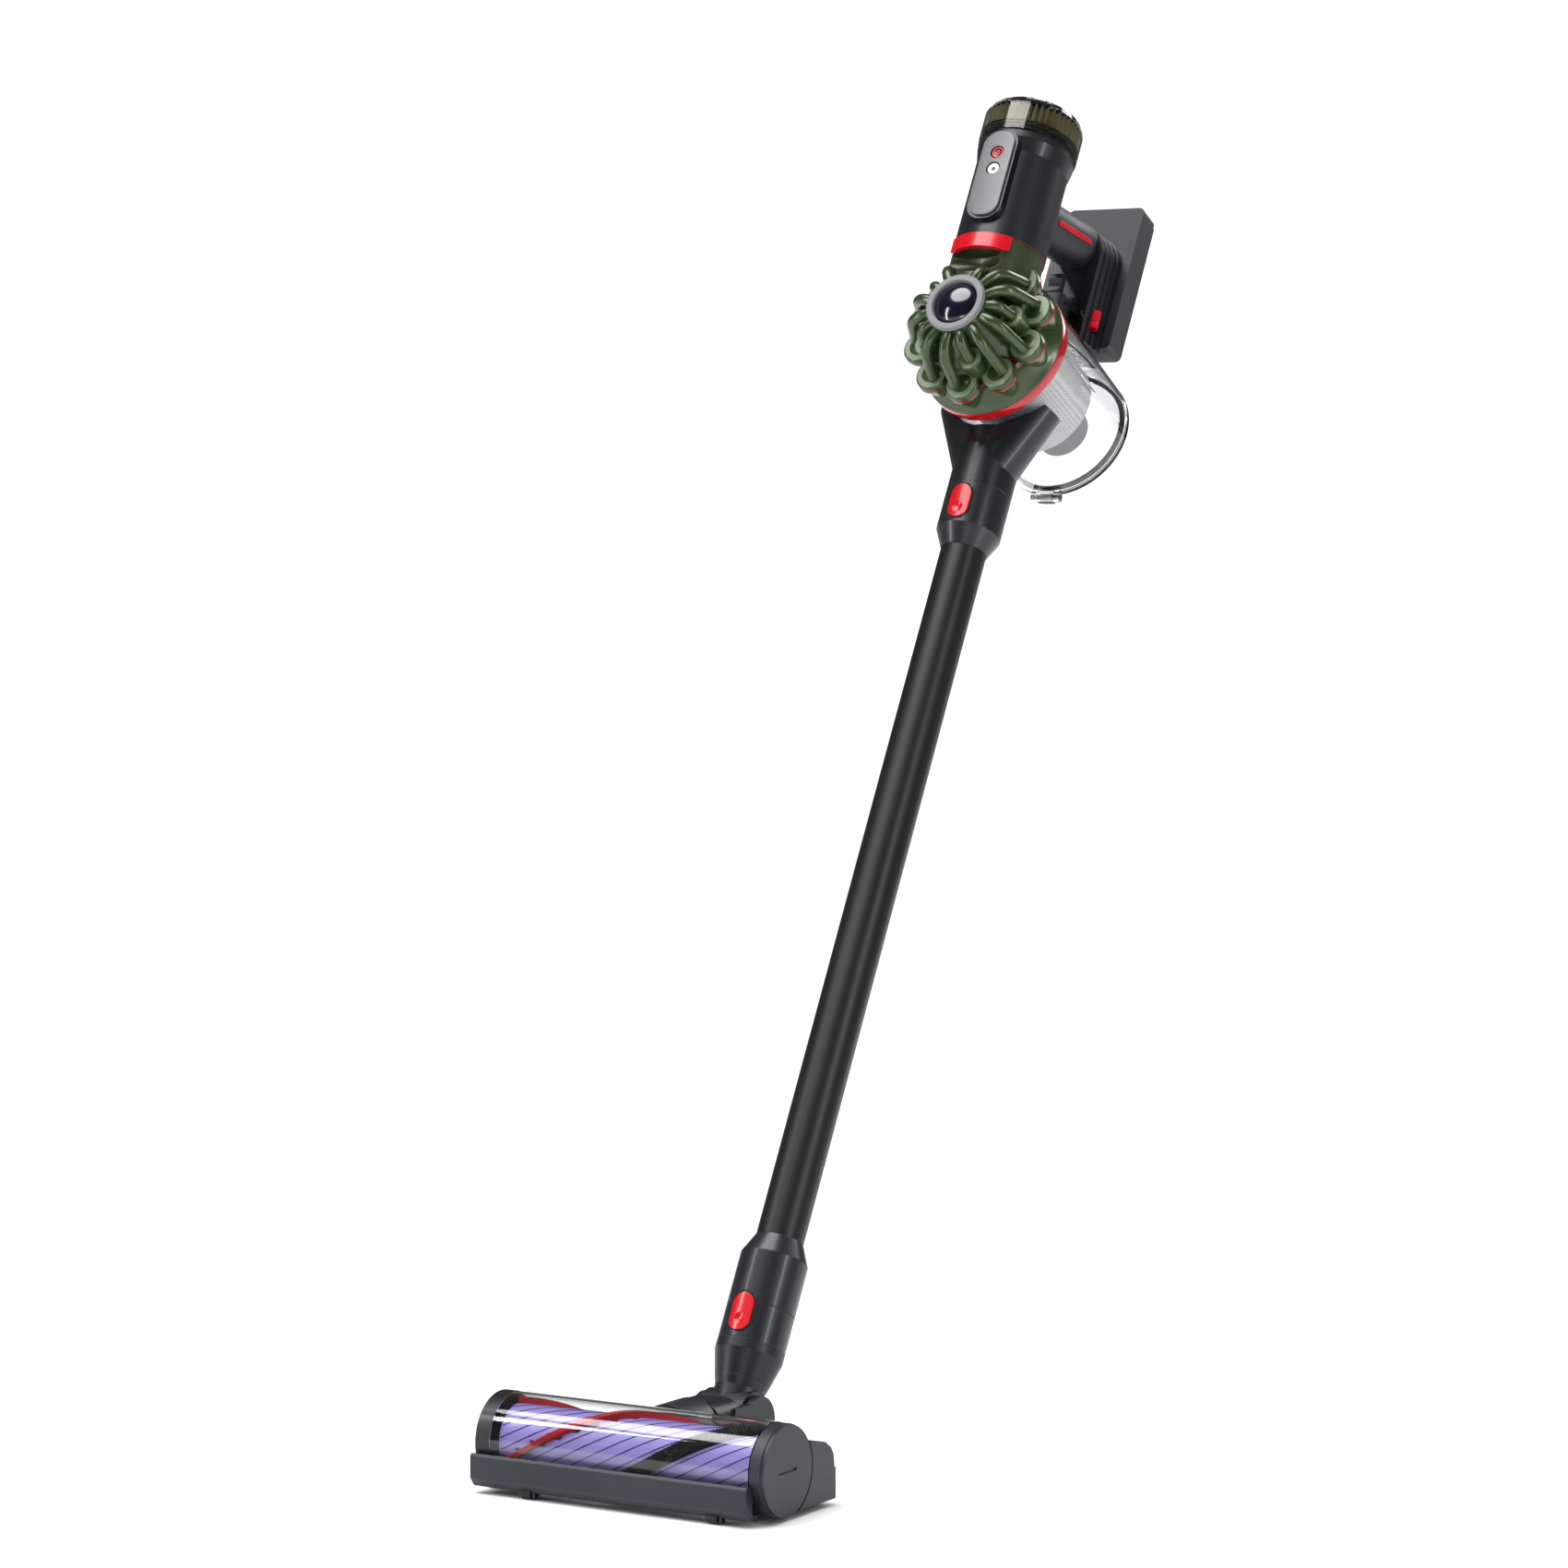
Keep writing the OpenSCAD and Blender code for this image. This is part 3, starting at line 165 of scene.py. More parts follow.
class Groups:
    """Shader node groups that several finishes share, each built once."""

    def __init__(self) -> None:
        self.made: Dict[str, Tree] = {}

    def _start(self, name: str, ins: Dict[str, float], outs: Sequence[str]) -> Tree:
        """Makes an empty group with its sockets.

        Args:
            name: the group's name.
            ins: float inputs with their default values.
            outs: names of the float outputs, or a name ending in "normal".

        Returns:
            The new group.
        """
        tree = bpy.data.node_groups.new(name, "ShaderNodeTree")
        for key, value in ins.items():
            sock = tree.interface.new_socket(key, in_out="INPUT", socket_type="NodeSocketFloat")
            sock.default_value = value
        for key in outs:
            kind = "NodeSocketVector" if key.endswith("normal") else "NodeSocketFloat"
            tree.interface.new_socket(key, in_out="OUTPUT", socket_type=kind)
        tree.nodes.new("NodeGroupInput").name = "in"
        tree.nodes.new("NodeGroupOutput").name = "out"
        self.made[name] = tree
        return tree

    def skin(self) -> Tree:
        """Moulded skin: slow mottling, fine grain and smudges.

        Returns:
            A group with inputs Grain, Mottle and Smudge (scales per metre) and
            outputs Tone, Sheen and Height.
        """
        if "moulded skin" in self.made:
            return self.made["moulded skin"]
        t = self._start(
            "moulded skin", {"Grain": 1800, "Mottle": 22, "Smudge": 9}, ("Tone", "Sheen", "Height"))
        n, l = t.nodes, t.links
        coord = n.new("ShaderNodeTexCoord")
        grain, mottle, smudge = (n.new("ShaderNodeTexNoise") for _ in range(3))
        for node, key, detail in (
                (grain, "Grain", 3), (mottle, "Mottle", 6), (smudge, "Smudge", 4)):
            l.new(coord.outputs["Object"], node.inputs["Vector"])
            l.new(n["in"].outputs[key], node.inputs["Scale"])
            node.inputs["Detail"].default_value = detail
            node.inputs["Roughness"].default_value = 0.6
        fine, slow, rubbed = (node.outputs["Fac"] for node in (grain, mottle, smudge))
        both = sums(t, "MULTIPLY_ADD", fine, 0.35, slow)
        l.new(sums(t, "SUBTRACT", both, 0.18, clamp=True), n["out"].inputs["Tone"])
        sheen = sums(t, "MULTIPLY_ADD", fine, 0.25, rubbed, clamp=True)
        l.new(sheen, n["out"].inputs["Sheen"])
        l.new(fine, n["out"].inputs["Height"])
        return t

    def edges(self) -> Tree:
        """Softened edges: a rounded normal and a mask of where the edges are.

        Returns:
            A group with input Radius and outputs "Soft normal" and Edge.
        """
        if "soft edges" in self.made:
            return self.made["soft edges"]
        t = self._start("soft edges", {"Radius": 0.0008}, ("Soft normal", "Edge"))
        n, l = t.nodes, t.links
        bevel = n.new("ShaderNodeBevel")
        bevel.samples = 4
        l.new(n["in"].outputs["Radius"], bevel.inputs["Radius"])
        shape = n.new("ShaderNodeNewGeometry")
        dot = n.new("ShaderNodeVectorMath")
        dot.operation = "DOT_PRODUCT"
        l.new(bevel.outputs["Normal"], dot.inputs[0])
        l.new(shape.outputs["Normal"], dot.inputs[1])
        mask = n.new("ShaderNodeMapRange")
        mask.inputs["From Min"].default_value = 0.995
        mask.inputs["From Max"].default_value = 0.86
        l.new(dot.outputs["Value"], mask.inputs["Value"])
        l.new(bevel.outputs["Normal"], n["out"].inputs["Soft normal"])
        l.new(mask.outputs["Result"], n["out"].inputs["Edge"])
        return t

    def streaks(self) -> Tree:
        """Long fine scratches or hairs along the wand's direction.

        Returns:
            A group with inputs Fine and Long and output Streak.
        """
        if "streaks" in self.made:
            return self.made["streaks"]
        t = self._start("streaks", {"Fine": 1400, "Long": 12}, ("Streak",))
        n, l = t.nodes, t.links
        coord = n.new("ShaderNodeTexCoord")
        turn = n.new("ShaderNodeMapping")
        turn.inputs["Rotation"].default_value = (PLACES.lean, 0, 0)
        l.new(coord.outputs["Object"], turn.inputs["Vector"])
        split = n.new("ShaderNodeSeparateXYZ")
        join = n.new("ShaderNodeCombineXYZ")
        l.new(turn.outputs[0], split.inputs[0])
        for axis, key in ((0, "Fine"), (1, "Fine"), (2, "Long")):
            scaled = sums(t, "MULTIPLY", split.outputs[axis], n["in"].outputs[key])
            l.new(scaled, join.inputs[axis])
        noise = n.new("ShaderNodeTexNoise")
        noise.inputs["Scale"].default_value = 1
        noise.inputs["Detail"].default_value = 4
        l.new(join.outputs[0], noise.inputs["Vector"])
        l.new(noise.outputs["Fac"], n["out"].inputs["Streak"])
        return t


GROUPS = Groups()


# ---------------------------------------------------------------- finishes


class Kind(Enum):
    """Families of finish."""

    PLASTIC = "plastic"
    METAL = "metal"
    CLEAR = "clear"
    CLOTH = "cloth"


@dataclass(frozen=True)
class Finish:
    """One finish, with the values that set its look.

    The two colours are the ends of its own slow variation. grain, mottle and
    holes are scales per metre. The last field is half the width of a left to
    right ramp of painted reflection, dark on the left and light on the right.
    """

    name: str
    kind: Kind
    deep: Colour
    light: Colour
    rough: Tuple[float, float] = (0.3, 0.45)
    grain: float = 1800
    mottle: float = 22
    bump: float = 0.12
    coat: float = 0.0
    edge: float = 0.0007
    # Share of the painted highlight along the edges.
    edge_light: float = 0.35
    streak: float = 0.0
    sheen: float = 0.0
    holes: float = 0.0
    # Half width of the ramp of painted reflection; 0 leaves it out.
    painted_reflection_half_width: float = 0.0

    def make(self) -> bpy.types.Material:
        """Builds the material, or returns it if it is already there."""
        found = bpy.data.materials.get(self.name)
        if found is not None:
            return found
        mat = bpy.data.materials.new(self.name)
        mat.use_nodes = True
        n, l = mat.node_tree.nodes, mat.node_tree.links
        shader = n["Principled BSDF"]
        skin = n.new("ShaderNodeGroup")
        skin.node_tree = GROUPS.skin()
        skin.inputs["Grain"].default_value = self.grain
        skin.inputs["Mottle"].default_value = self.mottle
        edges = n.new("ShaderNodeGroup")
        edges.node_tree = GROUPS.edges()
        edges.inputs["Radius"].default_value = self.edge
        tone = skin.outputs["Tone"]
        # Painted reflection: a ramp across the piece, dark on the left, set into the tone.
        if self.painted_reflection_half_width > 0:
            tone = self._painted_reflection_ramp(mat, tone)
        colour = mixed(mat.node_tree, tone, (*self.deep, 1), (*self.light, 1))
        height = skin.outputs["Height"]
        if self.streak > 0:
            colour, height = self._streaked(mat, colour)
        # Painted highlight along the edges, on every finish but the clear ones.
        if self.kind is not Kind.CLEAR:
            colour = self._painted_edge_highlight(mat, colour, edges.outputs["Edge"], skin.outputs["Sheen"])
        l.new(colour, shader.inputs["Base Color"])
        span = n.new("ShaderNodeMapRange")
        span.inputs["To Min"].default_value = self.rough[0]
        span.inputs["To Max"].default_value = self.rough[1]
        l.new(skin.outputs["Sheen"], span.inputs["Value"])
        l.new(span.outputs["Result"], shader.inputs["Roughness"])
        bump = n.new("ShaderNodeBump")
        bump.inputs["Strength"].default_value = self.bump
        bump.inputs["Distance"].default_value = 0.0004
        l.new(height, bump.inputs["Height"])
        if self.kind is not Kind.CLEAR:
            l.new(edges.outputs["Soft normal"], bump.inputs["Normal"])
        if self.holes > 0:
            self._pierced(mat, bump, colour)
        l.new(bump.outputs["Normal"], shader.inputs["Normal"])
        shader.inputs["Coat Weight"].default_value = self.coat
        shader.inputs["Coat Roughness"].default_value = 0.08
        shader.inputs["Metallic"].default_value = 1.0 if self.kind is Kind.METAL else 0.0
        if self.kind is Kind.CLEAR:
            shader.inputs["Transmission Weight"].default_value = 1.0
            shader.inputs["IOR"].default_value = 1.46
        if self.kind is Kind.CLOTH:
            shader.inputs["Sheen Weight"].default_value = self.sheen
        return mat

    def _painted_reflection_ramp(self, mat: bpy.types.Material, tone: Socket) -> Socket:
        """Blends the tone with a ramp across the piece, dark on the left and light on the right: a
        painted reflection.

        Args:
            mat: the material being made.
            tone: the slow variation so far.

        Returns:
            The new tone socket.
        """
        n, l = mat.node_tree.nodes, mat.node_tree.links
        coord = n.new("ShaderNodeTexCoord")
        split = n.new("ShaderNodeSeparateXYZ")
        ramp = n.new("ShaderNodeMapRange")
        ramp.interpolation_type = "SMOOTHSTEP"
        ramp.inputs["From Min"].default_value = -self.painted_reflection_half_width
        ramp.inputs["From Max"].default_value = self.painted_reflection_half_width
        l.new(coord.outputs["Object"], split.inputs[0])
        l.new(split.outputs["X"], ramp.inputs["Value"])
        return sums(mat.node_tree, "MULTIPLY_ADD", tone, 0.2, ramp.outputs["Result"], clamp=True)

    def _streaked(self, mat: bpy.types.Material, colour: Socket) -> Tuple[Socket, Socket]:
        """Adds fine streaks to the colour and gives them as the height.

        Args:
            mat: the material being made.
            colour: the colour so far.

        Returns:
            The new colour socket and the height socket.
        """
        group = mat.node_tree.nodes.new("ShaderNodeGroup")
        group.node_tree = GROUPS.streaks()
        streak = group.outputs["Streak"]
        return mixed(mat.node_tree, self.streak, colour, streak, "OVERLAY"), streak

    def _painted_edge_highlight(
            self, mat: bpy.types.Material, colour: Socket, edge: Socket, smudge: Socket) -> Socket:
        """Lightens the colour along the edges as a painted highlight.

        Args:
            mat: the material being made.
            colour: the colour so far.
            edge: mask of the edges.
            smudge: mask that breaks the painted highlight up.

        Returns:
            The new colour socket.
        """
        tree = mat.node_tree
        share = sums(tree, "MULTIPLY", sums(tree, "MULTIPLY", edge, smudge), self.edge_light)
        # Light colour painted on the edges as a highlight.
        edge_highlight_colour = tuple(min(1, 0.12 + 1.5 * c) for c in self.light)
        return mixed(tree, share, colour, edge_highlight_colour + (1,))

    def _pierced(self, mat: bpy.types.Material, bump: bpy.types.Node, colour: Socket) -> None:
        """Draws a close pattern of small round dimples, such as a shroud's mesh, darkened inside as
        painted shade.

        Args:
            mat: the material being made.
            bump: its bump node.
            colour: the colour so far.
        """
        n, l = mat.node_tree.nodes, mat.node_tree.links
        coord = n.new("ShaderNodeTexCoord")
        cells = n.new("ShaderNodeTexVoronoi")
        cells.inputs["Scale"].default_value = self.holes
        cells.inputs["Randomness"].default_value = 0.12
        l.new(coord.outputs["Object"], cells.inputs["Vector"])
        ramp = n.new("ShaderNodeValToRGB")
        ramp.color_ramp.elements[0].position = 0.28
        ramp.color_ramp.elements[1].position = 0.4
        l.new(cells.outputs["Distance"], ramp.inputs[0])
        # Painted shade: the dimples take a quarter of the deep colour.
        shade = tuple(0.25 * c for c in self.deep) + (1,)
        both = mixed(mat.node_tree, ramp.outputs[0], shade, colour)
        l.new(both, n["Principled BSDF"].inputs["Base Color"])
        l.new(ramp.outputs[0], bump.inputs["Height"])
        bump.inputs["Strength"].default_value = 0.5


P, M, C, F = Kind.PLASTIC, Kind.METAL, Kind.CLEAR, Kind.CLOTH


class Paints:
    """Every finish of the vacuum, by the record's slot or by the piece that has it."""

    charcoal = Finish(
        "charcoal_moulded", P, (0.006, 0.0066, 0.008), (0.015, 0.016, 0.020), (0.26, 0.42),
        coat=0.15)
    black = Finish(
        "black_gloss", P, (0.004, 0.004, 0.005), (0.010, 0.010, 0.012), (0.16, 0.28), coat=0.3)
    tube = Finish(
        "tube_satin_black", P, (0.004, 0.004, 0.004), (0.010, 0.010, 0.010), (0.34, 0.44),
        grain=2600, bump=0.06, streak=0.15)
    cuff = Finish(
        "cuff_slate", P, (0.009, 0.0105, 0.0135), (0.020, 0.0225, 0.028), (0.26, 0.4), coat=0.15)
    neck = Finish("neck_slate", P, (0.007, 0.008, 0.010), (0.017, 0.019, 0.024), (0.3, 0.45))
    head = Finish(
        "head_slate", P, (0.013, 0.015, 0.020), (0.028, 0.032, 0.041), (0.3, 0.46), bump=0.16)
    clear = Finish(
        "clear_shell", C, (0.96, 0.97, 0.98), (0.995, 0.995, 1.0), (0.0, 0.01), bump=0.01, grain=300
    )
    smoky = Finish(
        "smoky_shell", C, (0.66, 0.65, 0.57), (0.78, 0.77, 0.69), (0.01, 0.05), bump=0.01, grain=300
    )
    paper = Finish(
        "pleated_paper", F, (0.34, 0.31, 0.2), (0.62, 0.58, 0.42), (0.7, 0.9), grain=900, bump=0.3,
        sheen=0.2)
    motor = Finish("motor_can", M, (0.35, 0.36, 0.38), (0.5, 0.51, 0.53), (0.25, 0.4), streak=0.3)
    impeller = Finish(
        "impeller_alloy", M, (0.55, 0.56, 0.58), (0.68, 0.69, 0.71), (0.2, 0.32), streak=0.2)
    rubber = Finish(
        "soft_rubber_black", P, (0.008, 0.008, 0.008), (0.020, 0.020, 0.020), (0.6, 0.78), bump=0.2)
    # The panel's light colour is the bright end of its painted reflection ramp.
    panel = Finish(
        "panel_satin", P, (0.008, 0.0085, 0.009), (0.16, 0.165, 0.17), (0.2, 0.3), coat=0.2,
        painted_reflection_half_width=0.024)
    red = Finish(
        "red_gloss", P, (0.42, 0.003, 0.010), (0.62, 0.006, 0.018), (0.2, 0.3), coat=0.35, bump=0.05
    )
    ring_red = Finish(
        "ring_red_gloss", P, (0.26, 0.002, 0.005), (0.48, 0.006, 0.012), (0.12, 0.22), coat=0.6,
        bump=0.05)
    white = Finish(
        "white_key", P, (0.72, 0.72, 0.72), (0.86, 0.86, 0.86), (0.2, 0.3), coat=0.3, bump=0.05)
    olive_dark = Finish(
        "olive_cowl", P, (0.022, 0.034, 0.013), (0.044, 0.062, 0.026), (0.26, 0.4), coat=0.25)
    olive = Finish(
        "olive_gloss", P, (0.022, 0.042, 0.013), (0.044, 0.074, 0.026), (0.2, 0.34), coat=0.35)
    olive_light = Finish(
        "olive_cone", P, (0.045, 0.066, 0.032), (0.078, 0.108, 0.056), (0.24, 0.36), coat=0.3)
    silver = Finish(
        "silver_coat", P, (0.15, 0.153, 0.157), (0.24, 0.245, 0.25), (0.34, 0.46), bump=0.08)
    blue = Finish(
        "night_blue_gloss", P, (0.002, 0.002, 0.006), (0.008, 0.006, 0.03), (0.1, 0.2), coat=0.8,
        bump=0.02)
    shroud = Finish(
        "shroud_mesh", P, (0.52, 0.53, 0.53), (0.68, 0.69, 0.69), (0.28, 0.42), holes=620)
    cone = Finish("cone_grey", P, (0.004, 0.004, 0.005), (0.009, 0.009, 0.011), (0.34, 0.5))
    grip = Finish(
        "grip_grain", P, (0.010, 0.011, 0.013), (0.024, 0.026, 0.030), (0.36, 0.55), grain=1200,
        bump=0.3)
    battery = Finish(
        "battery_slate", P, (0.015, 0.016, 0.020), (0.032, 0.034, 0.040), (0.34, 0.5), bump=0.16)
    cell = Finish("cell_wrap_blue", P, (0.03, 0.12, 0.24), (0.06, 0.2, 0.36), (0.2, 0.3), coat=0.4)
    screw = Finish("screw_dark", M, (0.12, 0.12, 0.13), (0.22, 0.22, 0.23), (0.28, 0.4))
    wire = Finish("wire_copper", M, (0.45, 0.2, 0.08), (0.6, 0.3, 0.14), (0.25, 0.35), streak=0.2)
    violet = Finish(
        "violet_core", P, (0.022, 0.007, 0.26), (0.05, 0.02, 0.46), (0.4, 0.5), mottle=14)
    # Dark violet laid in the core's grooves as painted shade.
    groove_shade = Finish("violet_groove_shade", P, (0.005, 0.002, 0.06), (0.012, 0.005, 0.11), (0.5, 0.6))
    # Pale olive painted on the cyclone heads' tops as highlight.
    pale_highlight = Finish(
        "olive_painted_highlight", P, (0.13, 0.17, 0.1), (0.2, 0.25, 0.16), (0.24, 0.36), coat=0.3)
    stem = Finish("black_groove", P, (0.002, 0.002, 0.002), (0.006, 0.006, 0.006), (0.4, 0.6))
    hair_red = Finish(
        "bristle_red", F, (0.34, 0.001, 0.004), (0.62, 0.004, 0.010), (0.6, 0.8), grain=2400,
        bump=0.5, sheen=0.1)
    hair_black = Finish(
        "bristle_black", F, (0.002, 0.002, 0.002), (0.010, 0.010, 0.011), (0.55, 0.8), grain=2400,
        bump=0.5, sheen=0.05)
    belt = Finish(
        "belt_rubber", P, (0.006, 0.006, 0.006), (0.018, 0.018, 0.018), (0.6, 0.8), bump=0.3)
    roller = Finish(
        "roller_rubber", P, (0.010, 0.010, 0.011), (0.026, 0.026, 0.028), (0.5, 0.7), bump=0.25)

    by_slot: Dict[str, Finish] = {
        "charcoal": charcoal, "black_plastic": black, "satin_black": tube, "cuff_grey": cuff,
        "neck_grey": neck, "head_grey": head, "clear_plastic": clear, "smoky_clear": smoky,
        "filter_media": paper, "motor_metal": motor, "impeller_metal": impeller,
        "soft_rubber": rubber, "panel_grey": panel, "red_plastic": red, "ring_red": ring_red,
        "white_plastic": white, "olive_dark": olive_dark, "olive_green": olive,
        "olive_light": olive_light, "silver_ring": silver, "filter_blue": blue,
        "shroud_grey": shroud, "cone_grey": cone, "grip_dark": grip, "battery_grey": battery,
        "cell_wrap": cell, "screw_steel": screw, "copper_wire": wire, "violet_core": violet,
        "brush_hair": hair_black, "belt_rubber": belt, "roller_black": roller,}

    @classmethod
    def dress_cad(cls) -> None:
        """Gives every node of the frame the finish of its record slot."""
        for entry in frame["record"]["subparts"]:
            node = frame["nodes"][entry["node"]]
            finish = cls.by_slot[entry["material_slot"]].make()
            if not node.material_slots:
                node.data.materials.append(finish)
            for slot in node.material_slots:
                slot.material = finish


# ---------------------------------------------------------------- bench


class Bench:
    """Modelling operations, each done by Blender's own operators."""

    @staticmethod
    def clear() -> None:
        """Leaves edit mode and deselects everything."""
        if bpy.context.object and bpy.context.object.mode != "OBJECT":
            bpy.ops.object.mode_set(mode="OBJECT")
        bpy.ops.object.select_all(action="DESELECT")

    @classmethod
    def pick(cls, obj: Piece) -> None:
        """Leaves edit mode and makes a piece the only one selected."""
        cls.clear()
        bpy.context.view_layer.objects.active = obj
        obj.select_set(True)

    @staticmethod
    def edit() -> None:
        """Enters edit mode with everything selected."""
        bpy.ops.object.mode_set(mode="EDIT")
        bpy.ops.mesh.select_all(action="SELECT")

    @staticmethod
    def settle() -> None:
        """Merges doubles, turns every face outwards and leaves edit mode."""
        bpy.ops.mesh.select_all(action="SELECT")
        bpy.ops.mesh.remove_doubles(threshold=MERGE)
        bpy.ops.mesh.normals_make_consistent(inside=False)
        bpy.ops.object.mode_set(mode="OBJECT")

    @classmethod
    def turned(
            cls, name: str, rings: Sequence[Ring], sides: int = 64, closed: bool = False) -> Piece:
        """Turns a piece on z by extruding a circle from ring to ring.

        Args:
            name: the piece's name.
            rings: (height, radius) of each ring, in order along the outline.
            sides: number of sides of the circle.
            closed: joins the last ring to the first, as on a tube with a wall.

        Returns:
            The new piece; an open end is filled.
        """
        cls.clear()
        z, r = rings[0]
        fill = "NOTHING" if closed else "NGON"
        bpy.ops.mesh.primitive_circle_add(
            vertices=sides, radius=r, fill_type=fill, location=(0, 0, z))
        obj = bpy.context.object
        obj.name = name
        cls.edit()
        path = list(rings) + ([rings[0]] if closed else [])
        for (z0, r0), (z1, r1) in zip(path[:-1], path[1:]):
            bpy.ops.mesh.extrude_region_move(TRANSFORM_OT_translate={"value": (0, 0, z1 - z0)})
            k = r1 / r0
            bpy.ops.transform.resize(value=(k, k, 1), center_override=(0, 0, z1))
        cls.settle()
        return obj

    @classmethod
    def finish(
            cls, obj: Piece, place: Matrix, paint: Finish, body: str, slot: str = "",
            angle: float = 35) -> Piece:
        """Sets a piece in its place, smooths it, paints it and makes it ride.

        Args:
            obj: the piece, in its local frame.
            place: local frame into the row frame.
            paint: its finish.
            body: the CAD body that it rides on.
            slot: the record's material slot, if it has one; not used.
            angle: edges sharper than this many degrees stay sharp.

        Returns:
            The same piece.
        """
        cls.pick(obj)
        obj.matrix_world = place @ obj.matrix_world
        bpy.ops.object.transform_apply(location=True, rotation=True, scale=True)
        bpy.ops.object.shade_smooth_by_angle(angle=math.radians(angle))
        obj.data.materials.clear()
        obj.data.materials.append(paint.make())
        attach(obj, body)
        LOG.info("piece %s on %s: %d faces", obj.name, body, len(obj.data.polygons))
        return obj

    @classmethod
    def modifier(cls, obj: Piece, kind: str, **values) -> None:
        """Adds a modifier with its values and applies it.

        Args:
            obj: the piece.
            kind: the modifier's type.
            **values: its settings.
        """
        cls.pick(obj)
        mod = obj.modifiers.new(kind.lower(), kind)
        for key, value in values.items():
            setattr(mod, key, value)
        bpy.ops.object.modifier_apply(modifier=mod.name)

    @classmethod
    def copies(cls, obj: Piece, places: Sequence[Matrix], name: str) -> Piece:
        """Copies a piece to several places and joins the copies.

        Args:
            obj: the first piece, which is used up.
            places: where each copy goes, in the local frame.
            name: the joined piece's name.

        Returns:
            The joined piece.
        """
        made = []
        for place in places:
            twin = obj.copy()
            twin.data = obj.data.copy()
            twin.matrix_world = place @ obj.matrix_world
            bpy.context.scene.collection.objects.link(twin)
            made.append(twin)
        bpy.data.objects.remove(obj)
        return cls.join(made, name)

    @classmethod
    def join(cls, parts: Sequence[Piece], name: str) -> Piece:
        """Joins parts into one piece, with its place in its mesh."""
        cls.clear()
        bpy.context.view_layer.update()
        for part in parts:
            part.select_set(True)
        bpy.context.view_layer.objects.active = parts[0]
        bpy.ops.object.transform_apply(location=True, rotation=True, scale=True)
        if len(parts) > 1:
            bpy.ops.object.join()
        parts[0].name = name
        return parts[0]

    @classmethod
    def recalc(cls, obj: Piece) -> None:
        """Merges doubles and turns every face outwards."""
        cls.pick(obj)
        cls.edit()
        cls.settle()

    @staticmethod
    def around(count: int, start: float = 0.0) -> List[Matrix]:
        """Equal turns about z, the first at start degrees."""
        return [
            Matrix.Rotation(math.radians(start + 360 * k / count), 4, "Z") for k in range(count)]


# ---------------------------------------------------------------- sub-assemblies


